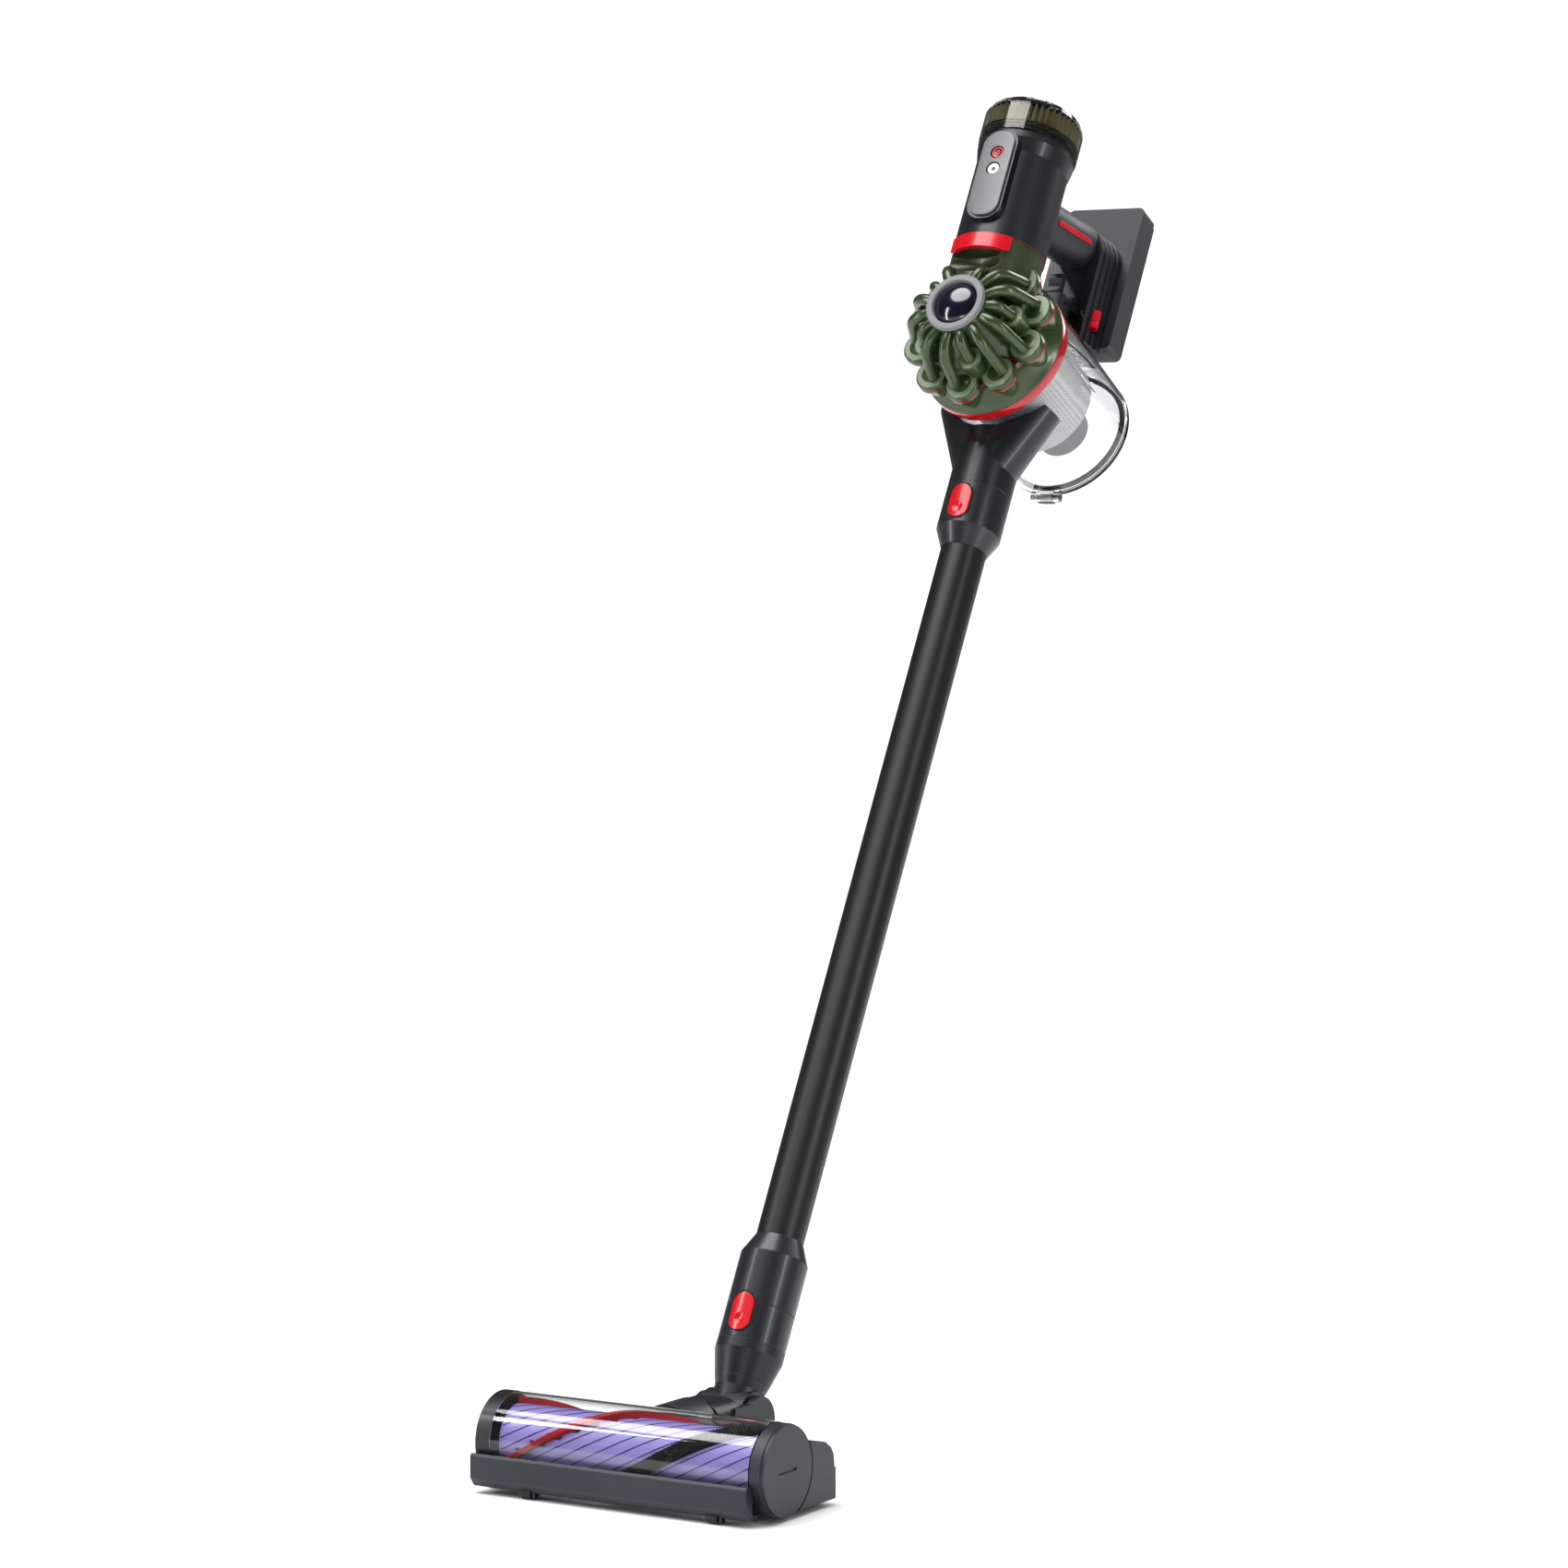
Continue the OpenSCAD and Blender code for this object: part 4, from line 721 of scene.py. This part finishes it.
@dataclass
class CyclonePack:
    """Olive-green cyclone pack: ducts, scalloped heads, cowl disc and hub."""

    hub_r: float = 0.0262
    ring_front: float = 0.0376
    plate: float = 0.0616
    face: float = 0.1116
    seat: float = 0.0016
    lower_orbit: float = 0.0517
    lower_r: float = 0.0148
    upper_orbit: float = 0.037
    upper_drop: float = 0.0252
    duct_r: float = 0.0048
    duct_tilt: float = math.radians(72)
    duct_spread: int = 13
    bare_angle: int = 95
    shelf_from: int = 66
    shelf_to: int = 146
    sleeve: float = 0.036

    def duct(self, name: str, run: float, bend: float, foot: float) -> Piece:
        """One bent duct from the hub outwards and down.

        Args:
            name: the duct's name.
            run: radius at which its bend starts.
            bend: radius of the bend.
            foot: height at which it ends.

        Returns:
            The duct in the pack's frame, over the x axis.
        """
        start, top = self.hub_r - 0.005, self.face - 0.0086
        tilt = self.duct_tilt
        Bench.clear()
        bpy.ops.mesh.primitive_circle_add(vertices=24, radius=self.duct_r, fill_type="NGON",
                                          location=(start, 0, top), rotation=(0, QUARTER, 0))
        obj = bpy.context.object
        obj.name = name
        Bench.edit()
        bpy.ops.mesh.extrude_region_move(TRANSFORM_OT_translate={"value": (run - start, 0, 0)})
        bpy.ops.mesh.spin(steps=14, angle=-tilt, center=(run, 0, top - bend), axis=(0, 1, 0))
        end = Vector((run + bend * math.sin(tilt), 0, top - bend + bend * math.cos(tilt)))
        drop = end.z - foot
        bpy.ops.mesh.extrude_region_move(
            TRANSFORM_OT_translate={"value": (drop / math.tan(tilt), 0, -drop)})
        Bench.settle()
        return obj

    def ducts(self) -> None:
        """Nine long ducts to the lower heads and five short ones onto the cones.

        The tenth long duct would stand at bare_angle, where the shelf is.
        """
        sides = (-self.duct_spread, self.duct_spread)
        spread = [36 + 72 * k + side for k in range(5) for side in sides]
        turns = [Matrix.Rotation(math.radians(a), 4, "Z") for a in spread if a != self.bare_angle]
        piece = Bench.copies(
            self.duct("long_ducts", 0.031, 0.016, self.plate + 0.0055), turns, "long_ducts")
        Bench.finish(piece, PLACES.pack(), Paints.olive, "handheld", "olive_green", 60)
        piece = Bench.copies(
            self.duct("short_ducts", 0.029, 0.009, self.face - 0.0262), Bench.around(5),
            "short_ducts")
        Bench.finish(piece, PLACES.pack(), Paints.olive, "handheld", "olive_green", 60)

    def core(self) -> None:
        """Body behind the ducts, with the flat-topped lower heads round it."""
        t = self.plate + self.seat
        rings = [
            (t, 0.042), (t + 0.004, 0.041), (t + 0.012, 0.034), (t + 0.024, 0.029),
            (self.face - 0.008, 0.0265), (self.face - 0.003, 0.0262), (self.face - 0.0025, 0.0202),
            (t, 0.0202)]
        piece = Bench.turned("manifold_core", rings, 96, True)
        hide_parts("cyclone_manifold")
        Bench.finish(piece, PLACES.pack(), Paints.olive, "handheld", "olive_green")
        r = self.lower_r
        spots = [
            turn @ Matrix.Translation((self.lower_orbit, 0, 0)) for turn in Bench.around(10, 18)]
        head = Bench.turned(
            "lower_caps", [(t, r), (t + 0.0042, r), (t + 0.0056, r - 0.0007),
            (t + 0.0062, r - 0.0018), (t + 0.0062, 0.0008)], 48)
        piece = Bench.copies(head, spots, "lower_caps")
        Bench.finish(piece, PLACES.pack(), Paints.olive, "handheld", "olive_green", 40)
        # Pale rings on the lower heads' tops are painted highlight.
        rim = Bench.turned(
            "lower_painted_highlights", [(t + 0.0058, r - 0.0012), (t + 0.0064, r - 0.0019),
            (t + 0.0064, r - 0.0062), (t + 0.0058, r - 0.0062)], 48, True)
        piece = Bench.copies(rim, spots, "lower_painted_highlights")
        Bench.finish(piece, PLACES.pack(), Paints.pale_highlight, "handheld", "olive_light", 40)

    def cones(self) -> None:
        """The five upper cones, each a flat-topped cylinder with a pale ring of painted highlight
        on top.
        """
        t = self.plate + self.seat
        high = self.face - self.upper_drop
        spots = [
            turn @ Matrix.Translation((self.upper_orbit + 0.003, 0, 0)) for turn in Bench.around(5)]
        cone = Bench.turned(
            "upper_cones", [(t + 0.002, 0.0085), (high - 0.004, 0.0108), (high - 0.001, 0.0109),
            (high, 0.0101), (high, 0.0006)], 48)
        piece = Bench.copies(cone, spots, "upper_cones")
        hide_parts("upper_cyclones")
        Bench.finish(piece, PLACES.pack(), Paints.olive, "handheld", "olive_light", 40)
        # Pale rings on the cones' tops are painted highlight.
        rim = Bench.turned(
            "upper_painted_highlights", [(high - 0.0002, 0.0099), (high + 0.0002, 0.0096),
            (high + 0.0002, 0.0058), (high - 0.0002, 0.0055)], 48, True)
        piece = Bench.copies(rim, spots, "upper_painted_highlights")
        Bench.finish(piece, PLACES.pack(), Paints.pale_highlight, "handheld", "olive_light", 40)

    def cowl(self) -> None:
        """Green body from the motor's foot to the pack, scooped under the band."""
        low, high, r = PLACES.pack_up + 0.019, PLACES.pack_up + 0.0702, 0.0374
        body = Bench.turned("cowl", [(low, r - 0.002), (low + 0.002, r), (high, r)], 128)
        Bench.clear()
        bpy.ops.mesh.primitive_uv_sphere_add(segments=64, ring_count=32, radius=1,
                                             location=(-0.005, -0.0385, PLACES.pack_up + 0.0475))
        scoop = bpy.context.object
        scoop.scale = (0.031, 0.0155, 0.0135)
        bpy.ops.object.transform_apply(location=True, rotation=False, scale=True)
        Bench.modifier(body, "BOOLEAN", operation="DIFFERENCE", object=scoop, solver="EXACT")
        scoop.location.z += 0.0085
        scoop.location.y -= 0.0015
        Bench.modifier(body, "BOOLEAN", operation="DIFFERENCE", object=scoop, solver="EXACT")
        bpy.data.objects.remove(scoop)
        Bench.recalc(body)
        Bench.finish(body, PLACES.motor(), Paints.olive_dark, "handheld", "olive_dark", 40)
        self.shelf()
        f = self.ring_front
        disc = Bench.turned(
            "flared_disc", [(f, 0.040), (f, 0.0628), (f + 0.0012, 0.0631), (f + 0.0028, 0.0618),
            (f + 0.0075, 0.0572), (f + 0.014, 0.0542), (f + 0.0235, 0.0438), (f + 0.0235, 0.040)],
            160, True)
        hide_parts("cyclone_saddle")
        Bench.finish(disc, PLACES.pack(), Paints.olive, "handheld", "olive_dark", 50)
        back = 0.0095
        band = Bench.turned(
            "red_band", [(f - back, 0.0612), (f - back, 0.0630), (f - back + 0.0006, 0.0632),
            (f - 0.0006, 0.0632), (f, 0.0630), (f, 0.0612)], 160, True)
        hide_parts("bin_ring")
        Bench.finish(band, PLACES.pack(), Paints.ring_red, "handheld", "ring_red", 40)
        seam = Bench.turned(
            "red_seam", [(high + 0.0001, 0.0368), (high + 0.0001, 0.0379), (high + 0.0011, 0.0379),
            (high + 0.0011, 0.0368)], 128, True)
        Bench.finish(seam, PLACES.motor(), Paints.ring_red, "handheld", "ring_red", 40)

    def shelf(self) -> None:
        """Smooth slope that sweeps from the hub up to the cowl's scoop."""
        f = self.face
        obj = Bench.turned(
            "cowl_shelf", [(f - 0.004, 0.0256), (f - 0.0075, 0.0282), (f - 0.013, 0.0335),
            (f - 0.020, 0.0392), (f - 0.027, 0.0428), (f - 0.042, 0.0434), (f - 0.042, 0.0202),
            (f - 0.004, 0.0202)], 128, True)
        Bench.pick(obj)
        bpy.ops.object.mode_set(mode="EDIT")
        for angle in (self.shelf_from, self.shelf_to + 180):
            bpy.ops.mesh.select_all(action="SELECT")
            a = math.radians(angle)
            side = (math.sin(a), -math.cos(a), 0)
            bpy.ops.mesh.bisect(plane_co=(0, 0, 0), plane_no=side, use_fill=True, clear_outer=True)
        bpy.ops.object.mode_set(mode="OBJECT")
        Bench.recalc(obj)
        Bench.finish(obj, PLACES.pack(), Paints.olive, "handheld", "olive_dark", 40)

    def hub(self) -> None:
        """Silver ring with a dished face, and the glossy dome of the front filter."""
        f = self.face
        rings = [
            (f - 0.006, 0.0262), (f - 0.0026, 0.0262), (f - 0.0020, 0.0256), (f - 0.0006, 0.0254),
            (f, 0.0248), (f, 0.0206), (f - 0.0005, 0.0200), (f - 0.0030, 0.0193),
            (f - 0.006, 0.0192)]
        piece = Bench.turned("hub_collar", rings, 96, True)
        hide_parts("hub_ring")
        Bench.finish(piece, PLACES.pack(), Paints.silver, "handheld", "silver_ring")
        dome = [
            (f - self.sleeve, 0.0170), (f - 0.008, 0.0170), (f - 0.006, 0.0189),
            (f - 0.0042, 0.0187), (f - 0.0028, 0.0178), (f - 0.0012, 0.0160), (f + 0.0004, 0.0134),
            (f + 0.0016, 0.0104), (f + 0.0025, 0.0070), (f + 0.0029, 0.0036), (f + 0.003, 0.0005)]
        piece = Bench.turned("front_filter_dome", dome, 96)
        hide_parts("prefilter")
        Bench.finish(piece, PLACES.pack(), Paints.blue, "front_filter", "filter_blue", 60)

    def build(self) -> None:
        """Builds the whole pack."""
        for step in (self.ducts, self.core, self.cones, self.cowl, self.hub):
            step()


@dataclass
class Keys:
    """Two round keys on the panel: a red ring with a coil and a white ring with a dot."""

    front: float = 0.1076
    power_up: float = 1.056
    mode_up: float = 1.0405
    radius: float = 0.0056

    def place(self, up: float) -> Matrix:
        """Key's own frame, z out of the panel, into the row frame."""
        return PLACES.out_of_front(self.front, up)

    def key(self, name: str, up: float, node: str, ring: Finish, body: str, slot: str) -> None:
        """Dark dished cap with a coloured ring standing on it.

        Args:
            name: start of the pieces' names.
            up: height of the key's axis up the wand.
            node: the frame's node that it replaces.
            ring: the ring's finish.
            body: the body it rides on.
            slot: the node's slot.
        """
        r = self.radius
        cap = Bench.turned(
            name + "_cap", [(-0.003, r - 0.0003), (-0.0006, r - 0.0003), (-0.0002, r - 0.0007),
            (-0.0002, r - 0.0012), (-0.0005, r - 0.002), (-0.0005, 0.0004)], 64)
        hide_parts(node)
        Bench.finish(cap, self.place(up), Paints.black, body, slot)
        hoop = Bench.turned(
            name + "_hoop", [(-0.0006, r - 0.0004), (0.0001, r - 0.0006), (0.0002, r - 0.0012),
            (0.0001, r - 0.0018), (-0.0006, r - 0.0020)], 64, True)
        Bench.finish(hoop, self.place(up), ring, body, slot)

    def signs(self) -> None:
        """Ring and dot on the power key, and the white disc on the mode key."""
        arc = Bench.turned(
            "power_coil", [(-0.0006, 0.0024), (-0.0001, 0.0023), (-0.0001, 0.0017),
            (-0.0006, 0.0016)], 48, True)
        Bench.finish(arc, self.place(self.power_up), Paints.red, "power_key", "red_plastic")
        dot = Bench.turned(
            "power_dot", [(-0.0006, 0.0007), (-0.0001, 0.0006), (-0.0001, 0.0002)], 24)
        Bench.finish(dot, self.place(self.power_up), Paints.red, "power_key", "red_plastic")
        disc = Bench.turned(
            "mode_disc", [(-0.0006, 0.0038), (-0.0002, 0.0037), (-0.0002, 0.0019),
            (-0.0006, 0.0018)], 48, True)
        Bench.finish(disc, self.place(self.mode_up), Paints.white, "mode_key", "white_plastic")

    def build(self) -> None:
        """Builds both keys."""
        self.key("power", self.power_up, "power_button", Paints.red, "power_key", "red_plastic")
        self.key("mode", self.mode_up, "mode_button", Paints.white, "mode_key", "white_plastic")
        self.signs()


@dataclass
class ButtonRims:
    """Thin black rims round the two release buttons on the wand's cuffs."""

    front: float = 0.0262
    half_w: float = 0.0096
    half_h: float = 0.0156
    flank: float = 0.62
    sag: float = 0.0012
    lower_up: float = 0.0788
    upper_up: float = 0.7765

    def rim(self, name: str, up: float) -> None:
        """One rim: a turned hoop drawn out along the wand.

        Args:
            name: its name.
            up: height of the button's middle up the wand.
        """
        w = self.half_w
        obj = Bench.turned(
            name, [(-0.0022, w - 0.0002), (0.0004, w), (0.0007, w + 0.0005), (0.0004, w + 0.0010),
            (-0.0022, w + 0.0010)], 64, True)
        Bench.pick(obj)
        for v in obj.data.vertices:
            v.select = v.co.y > 0
        for group in (obj.data.edges, obj.data.polygons):
            for item in group:
                item.select = False
        bpy.ops.object.mode_set(mode="EDIT")
        bpy.ops.mesh.select_mode(type="VERT")
        bpy.ops.transform.translate(value=(0, 2 * (self.half_h - w), 0))
        bpy.ops.mesh.select_all(action="SELECT")
        bpy.ops.transform.translate(value=(0, -(self.half_h - w), 0))
        bpy.ops.mesh.select_all(action="DESELECT")
        bpy.ops.object.mode_set(mode="OBJECT")
        for v in obj.data.vertices:
            v.select = abs(v.co.x) > self.flank * w
        bpy.ops.object.mode_set(mode="EDIT")
        bpy.ops.transform.translate(value=(0, 0, -self.sag))
        bpy.ops.object.mode_set(mode="OBJECT")
        place = PLACES.out_of_front(self.front, up)
        Bench.finish(obj, place, Paints.stem, "handheld", "soft_rubber", 50)

    def build(self) -> None:
        """Builds both rims."""
        self.rim("lower_button_rim", self.lower_up)
        self.rim("upper_button_rim", self.upper_up)


@dataclass
class FilterTop:
    """Clear filter cap's insides: pleated paper with its rims."""

    foot: float = 1.0905
    top: float = 1.1085
    outer: float = 0.0385
    fold_depth: float = 0.0078
    folds: int = 44
    seam_step: float = 0.0028
    seams: int = 3

    def build(self) -> None:
        """Builds a ring of folds, its rim and inner wall, and the seam hoops."""
        Bench.clear()
        bpy.ops.mesh.primitive_circle_add(
            vertices=2 * self.folds, radius=self.outer, fill_type="NOTHING",
            location=(0, 0, self.foot))
        obj = bpy.context.object
        obj.name = "pleated_filter"
        for edge in obj.data.edges:
            edge.select = False
        for k, v in enumerate(obj.data.vertices):
            v.select = k % 2 == 0
        bpy.ops.object.mode_set(mode="EDIT")
        bpy.ops.mesh.select_mode(type="VERT")
        shrink = (self.outer - self.fold_depth) / self.outer
        bpy.ops.transform.resize(value=(shrink, shrink, 1), center_override=(0, 0, self.foot))
        bpy.ops.mesh.select_all(action="SELECT")
        bpy.ops.mesh.extrude_region_move(
            TRANSFORM_OT_translate={"value": (0, 0, self.top - self.foot)})
        bpy.ops.object.mode_set(mode="OBJECT")
        Bench.recalc(obj)
        Bench.modifier(obj, "SOLIDIFY", thickness=0.0007, offset=0)
        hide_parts("filter_element")
        Bench.finish(obj, PLACES.motor(), Paints.paper, "filter", "filter_media", 20)
        rim = Bench.turned(
            "filter_rim", [(self.top, 0.0386), (self.top + 0.0012, 0.0386),
            (self.top + 0.0012, 0.0105), (self.top, 0.0105)], 96, True)
        Bench.finish(rim, PLACES.motor(), Paints.rubber, "filter", "soft_rubber")
        core = Bench.turned(
            "filter_inner_wall", [(self.foot, 0.0304), (self.top, 0.0304), (self.top, 0.029),
            (self.foot, 0.029)], 96, True)
        Bench.finish(core, PLACES.motor(), Paints.black, "filter", "black_plastic")
        hoop = Bench.turned(
            "seam_hoops", [(1.0835, 0.0392), (1.0835, 0.0401), (1.0849, 0.0401), (1.0849, 0.0392)],
            96, True)
        piece = Bench.copies(
            hoop, [Matrix.Translation((0, 0, self.seam_step * k)) for k in range(self.seams)],
            "seam_hoops")
        Bench.finish(piece, PLACES.motor(), Paints.black, "filter", "black_plastic")


@dataclass
class RollerBrush:
    """Soft roller: violet core with grooves painted dark as shade, two red strips and a black one.
    """

    half: float = 0.109
    core_r: float = 0.0262
    tip_r: float = 0.0318
    axis_z: float = 0.0365
    turn: float = math.radians(-240)
    sink: float = 0.002
    red_w: float = 0.0046
    black_w: float = 0.012
    groove_w: float = 0.0007
    black_start: int = 240
    tip_steps: int = 120
    tip_rows: Tuple[float, ...] = (-9.0, -3.0, 3.0, 9.0)
    groove_step: int = 20

    def helix(
            self, name: str, start: float, low: float, high: float, width: float, paint: Finish
    ) -> Piece:
        """A strip wound round the core.

        Args:
            name: the strip's name.
            start: its angle at the left end, in degrees.
            low: inner radius.
            high: outer radius.
            width: width round the core.
            paint: its finish.

        Returns:
            The finished strip.
        """
        Bench.clear()
        bpy.ops.mesh.primitive_plane_add(
            size=1, location=(0, 0, (low + high) / 2), rotation=(0, QUARTER, 0))
        obj = bpy.context.object
        obj.name = name
        obj.scale = (high - low, width, 1)
        bpy.ops.object.transform_apply(location=True, rotation=True, scale=True)
        Bench.edit()
        bpy.ops.transform.translate(value=(-self.half + 0.001, 0, 0))
        bpy.ops.mesh.delete(type="ONLY_FACE")
        bpy.ops.object.mode_set(mode="OBJECT")
        Bench.modifier(
            obj, "SCREW", axis="X", angle=self.turn, screw_offset=2 * self.half - 0.002, steps=72,
            render_steps=72, use_merge_vertices=False)
        Bench.pick(obj)
        Bench.edit()
        bpy.ops.mesh.remove_doubles(threshold=MERGE)
        bpy.ops.mesh.select_all(action="DESELECT")
        bpy.ops.mesh.select_non_manifold()
        bpy.ops.mesh.edge_face_add()
        bpy.ops.object.mode_set(mode="OBJECT")
        Bench.recalc(obj)
        place = PLACES.head() @ Matrix.Translation((0, 0, self.axis_z)) @ Matrix.Rotation(
            math.radians(start), 4, "X")
        return Bench.finish(obj, place, paint, "brush", "brush_hair", 60)

    def tips(self, start: float) -> None:
        """Bristle tips that stand up out of the black strip.

        Args:
            start: the strip's angle at the left end, in degrees.
        """
        tip = Bench.turned(
            "bristle_tips", [(self.core_r, 0.0005), (self.tip_r + 0.0004, 0.00022)], 6)
        places = []
        for k in range(self.tip_steps):
            share = (k + 0.5) / self.tip_steps
            slide = Matrix.Translation(((2 * share - 1) * (self.half - 0.002), 0, 0))
            for row in self.tip_rows:
                angle = math.radians(start + row + 2 * math.sin(7 * k)) + self.turn * share
                places.append(slide @ Matrix.Rotation(angle, 4, "X"))
        piece = Bench.copies(tip, places, "bristle_tips")
        place = PLACES.head() @ Matrix.Translation((0, 0, self.axis_z))
        Bench.finish(piece, place, Paints.hair_black, "brush", "brush_hair", 60)

    def build(self) -> None:
        """Builds the strips; the core is the frame's own."""
        low = self.core_r - self.sink
        red_top, black_top = self.tip_r - 0.001, self.tip_r - 0.0024
        red = self.helix("red_strip", 120, low, red_top, self.red_w, Paints.hair_red)
        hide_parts("brush_strips")
        self.helix("second_red_strip", 0, low, red_top, self.red_w, Paints.hair_red)
        self.helix("black_strip", self.black_start, low, black_top, self.black_w, Paints.hair_black)
        self.tips(self.black_start)
        # Thin dark strips flush in the core's grooves, between the coloured strips: painted shade.
        for k in range(360 // self.groove_step):
            start = self.groove_step * k
            if start % 120:
                self.helix(
                    f"groove_{k:02d}", start, low, self.core_r + 0.0001, self.groove_w,
                    Paints.groove_shade)


# ---------------------------------------------------------------- studio


@dataclass
class Studio:
    """Pale floor, soft lights, white world and the camera."""

    floor_z: float = -0.95807
    eye: Point = (1.83212, -3.43192, -0.24404)
    target: Point = (-0.00068, -0.43685, -0.44091)
    lens: float = 105.86
    sun_power: float = 3.2
    dim: float = 0.12

    def floor(self) -> None:
        """A large pale disc under the head."""
        Bench.clear()
        bpy.ops.mesh.primitive_circle_add(
            vertices=96, radius=14, fill_type="NGON", location=(0, -0.4, self.floor_z))
        disc = bpy.context.object
        disc.name = "studio_floor"
        mat = bpy.data.materials.new("studio_paper")
        mat.use_nodes = True
        n, l = mat.node_tree.nodes, mat.node_tree.links
        coord = n.new("ShaderNodeTexCoord")
        noise = n.new("ShaderNodeTexNoise")
        noise.inputs["Scale"].default_value = 3
        l.new(coord.outputs["Object"], noise.inputs["Vector"])
        ramp = n.new("ShaderNodeValToRGB")
        ramp.color_ramp.elements[0].color = (0.86, 0.86, 0.86, 1)
        ramp.color_ramp.elements[1].color = (0.9, 0.9, 0.9, 1)
        l.new(noise.outputs["Fac"], ramp.inputs[0])
        l.new(ramp.outputs[0], n["Principled BSDF"].inputs["Base Color"])
        n["Principled BSDF"].inputs["Roughness"].default_value = 0.9
        disc.data.materials.append(mat)

    def light(
            self, name: str, where: Point, power: float, size: Tuple[float, float], aim: Point
    ) -> None:
        """One soft rectangular light.

        Args:
            name: its name.
            where: its place.
            power: its power in watts.
            size: its width and height in metres.
            aim: the point it faces.
        """
        lamp = bpy.data.lights.new(name, "AREA")
        lamp.shape = "RECTANGLE"
        lamp.energy = power
        lamp.size, lamp.size_y = size
        obj = bpy.data.objects.new(name, lamp)
        bpy.context.scene.collection.objects.link(obj)
        obj.location = where
        obj.rotation_euler = (Vector(aim) - Vector(where)).to_track_quat("-Z", "Y").to_euler()

    def sky(self) -> None:
        """White where the camera sees it straight or through glass, and dim elsewhere."""
        world = bpy.data.worlds.new("studio_white")
        world.use_nodes = True
        n, l = world.node_tree.nodes, world.node_tree.links
        path = n.new("ShaderNodeLightPath")
        bounces = sums(
            world.node_tree, "ADD", path.outputs["Diffuse Depth"], path.outputs["Glossy Depth"])
        seen = sums(world.node_tree, "LESS_THAN", bounces, 0.5)
        strength = n.new("ShaderNodeMapRange")
        strength.inputs["To Min"].default_value = self.dim
        strength.inputs["To Max"].default_value = 1.0
        l.new(seen, strength.inputs["Value"])
        n["Background"].inputs[0].default_value = (1, 1, 1, 1)
        l.new(strength.outputs["Result"], n["Background"].inputs[1])
        bpy.context.scene.world = world

    def build(self) -> None:
        """Builds the floor, the lights, the world and the camera."""
        self.floor()
        middle = (0, -0.35, -0.4)
        sun = bpy.data.lights.new("sun", "SUN")
        sun.energy = self.sun_power
        sun.angle = math.radians(50)
        lamp = bpy.data.objects.new("sun", sun)
        bpy.context.scene.collection.objects.link(lamp)
        lamp.rotation_euler = (math.radians(14), math.radians(-10), 0)
        self.light("left_strip", (-1.9, -2.2, 0.2), 26, (0.3, 2.4), middle)
        self.light("right_strip", (2.6, -0.9, 0.3), 26, (0.3, 2.4), middle)
        self.light("front_low", (0.9, -2.9, -0.6), 7, (0.8, 0.5), (0, -0.2, -0.3))
        self.light("rim", (0.9, 2.2, 1.2), 30, (1.4, 1.4), middle)
        self.sky()
        bpy.context.scene.view_settings.view_transform = "Standard"
        bpy.context.scene.view_settings.look = "Medium High Contrast"
        data = bpy.data.cameras.new("studio_camera")
        data.lens = self.lens
        data.sensor_width = 36
        data.clip_end = 60
        cam = bpy.data.objects.new("studio_camera", data)
        bpy.context.scene.collection.objects.link(cam)
        cam.location = self.eye
        cam.rotation_euler = (
            Vector(self.target) - Vector(self.eye)).to_track_quat("-Z", "Y").to_euler()
        bpy.context.scene.camera = cam


def main() -> None:
    """Dresses the frame, builds every sub-assembly and the studio."""
    logging.basicConfig(level=logging.INFO, format="%(name)s: %(message)s")
    Paints.dress_cad()
    for part in (CyclonePack(), Keys(), ButtonRims(), FilterTop(), RollerBrush(), Studio()):
        LOG.info("building %s", type(part).__name__)
        part.build()
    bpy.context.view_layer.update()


if __name__ == "__main__":
    main()
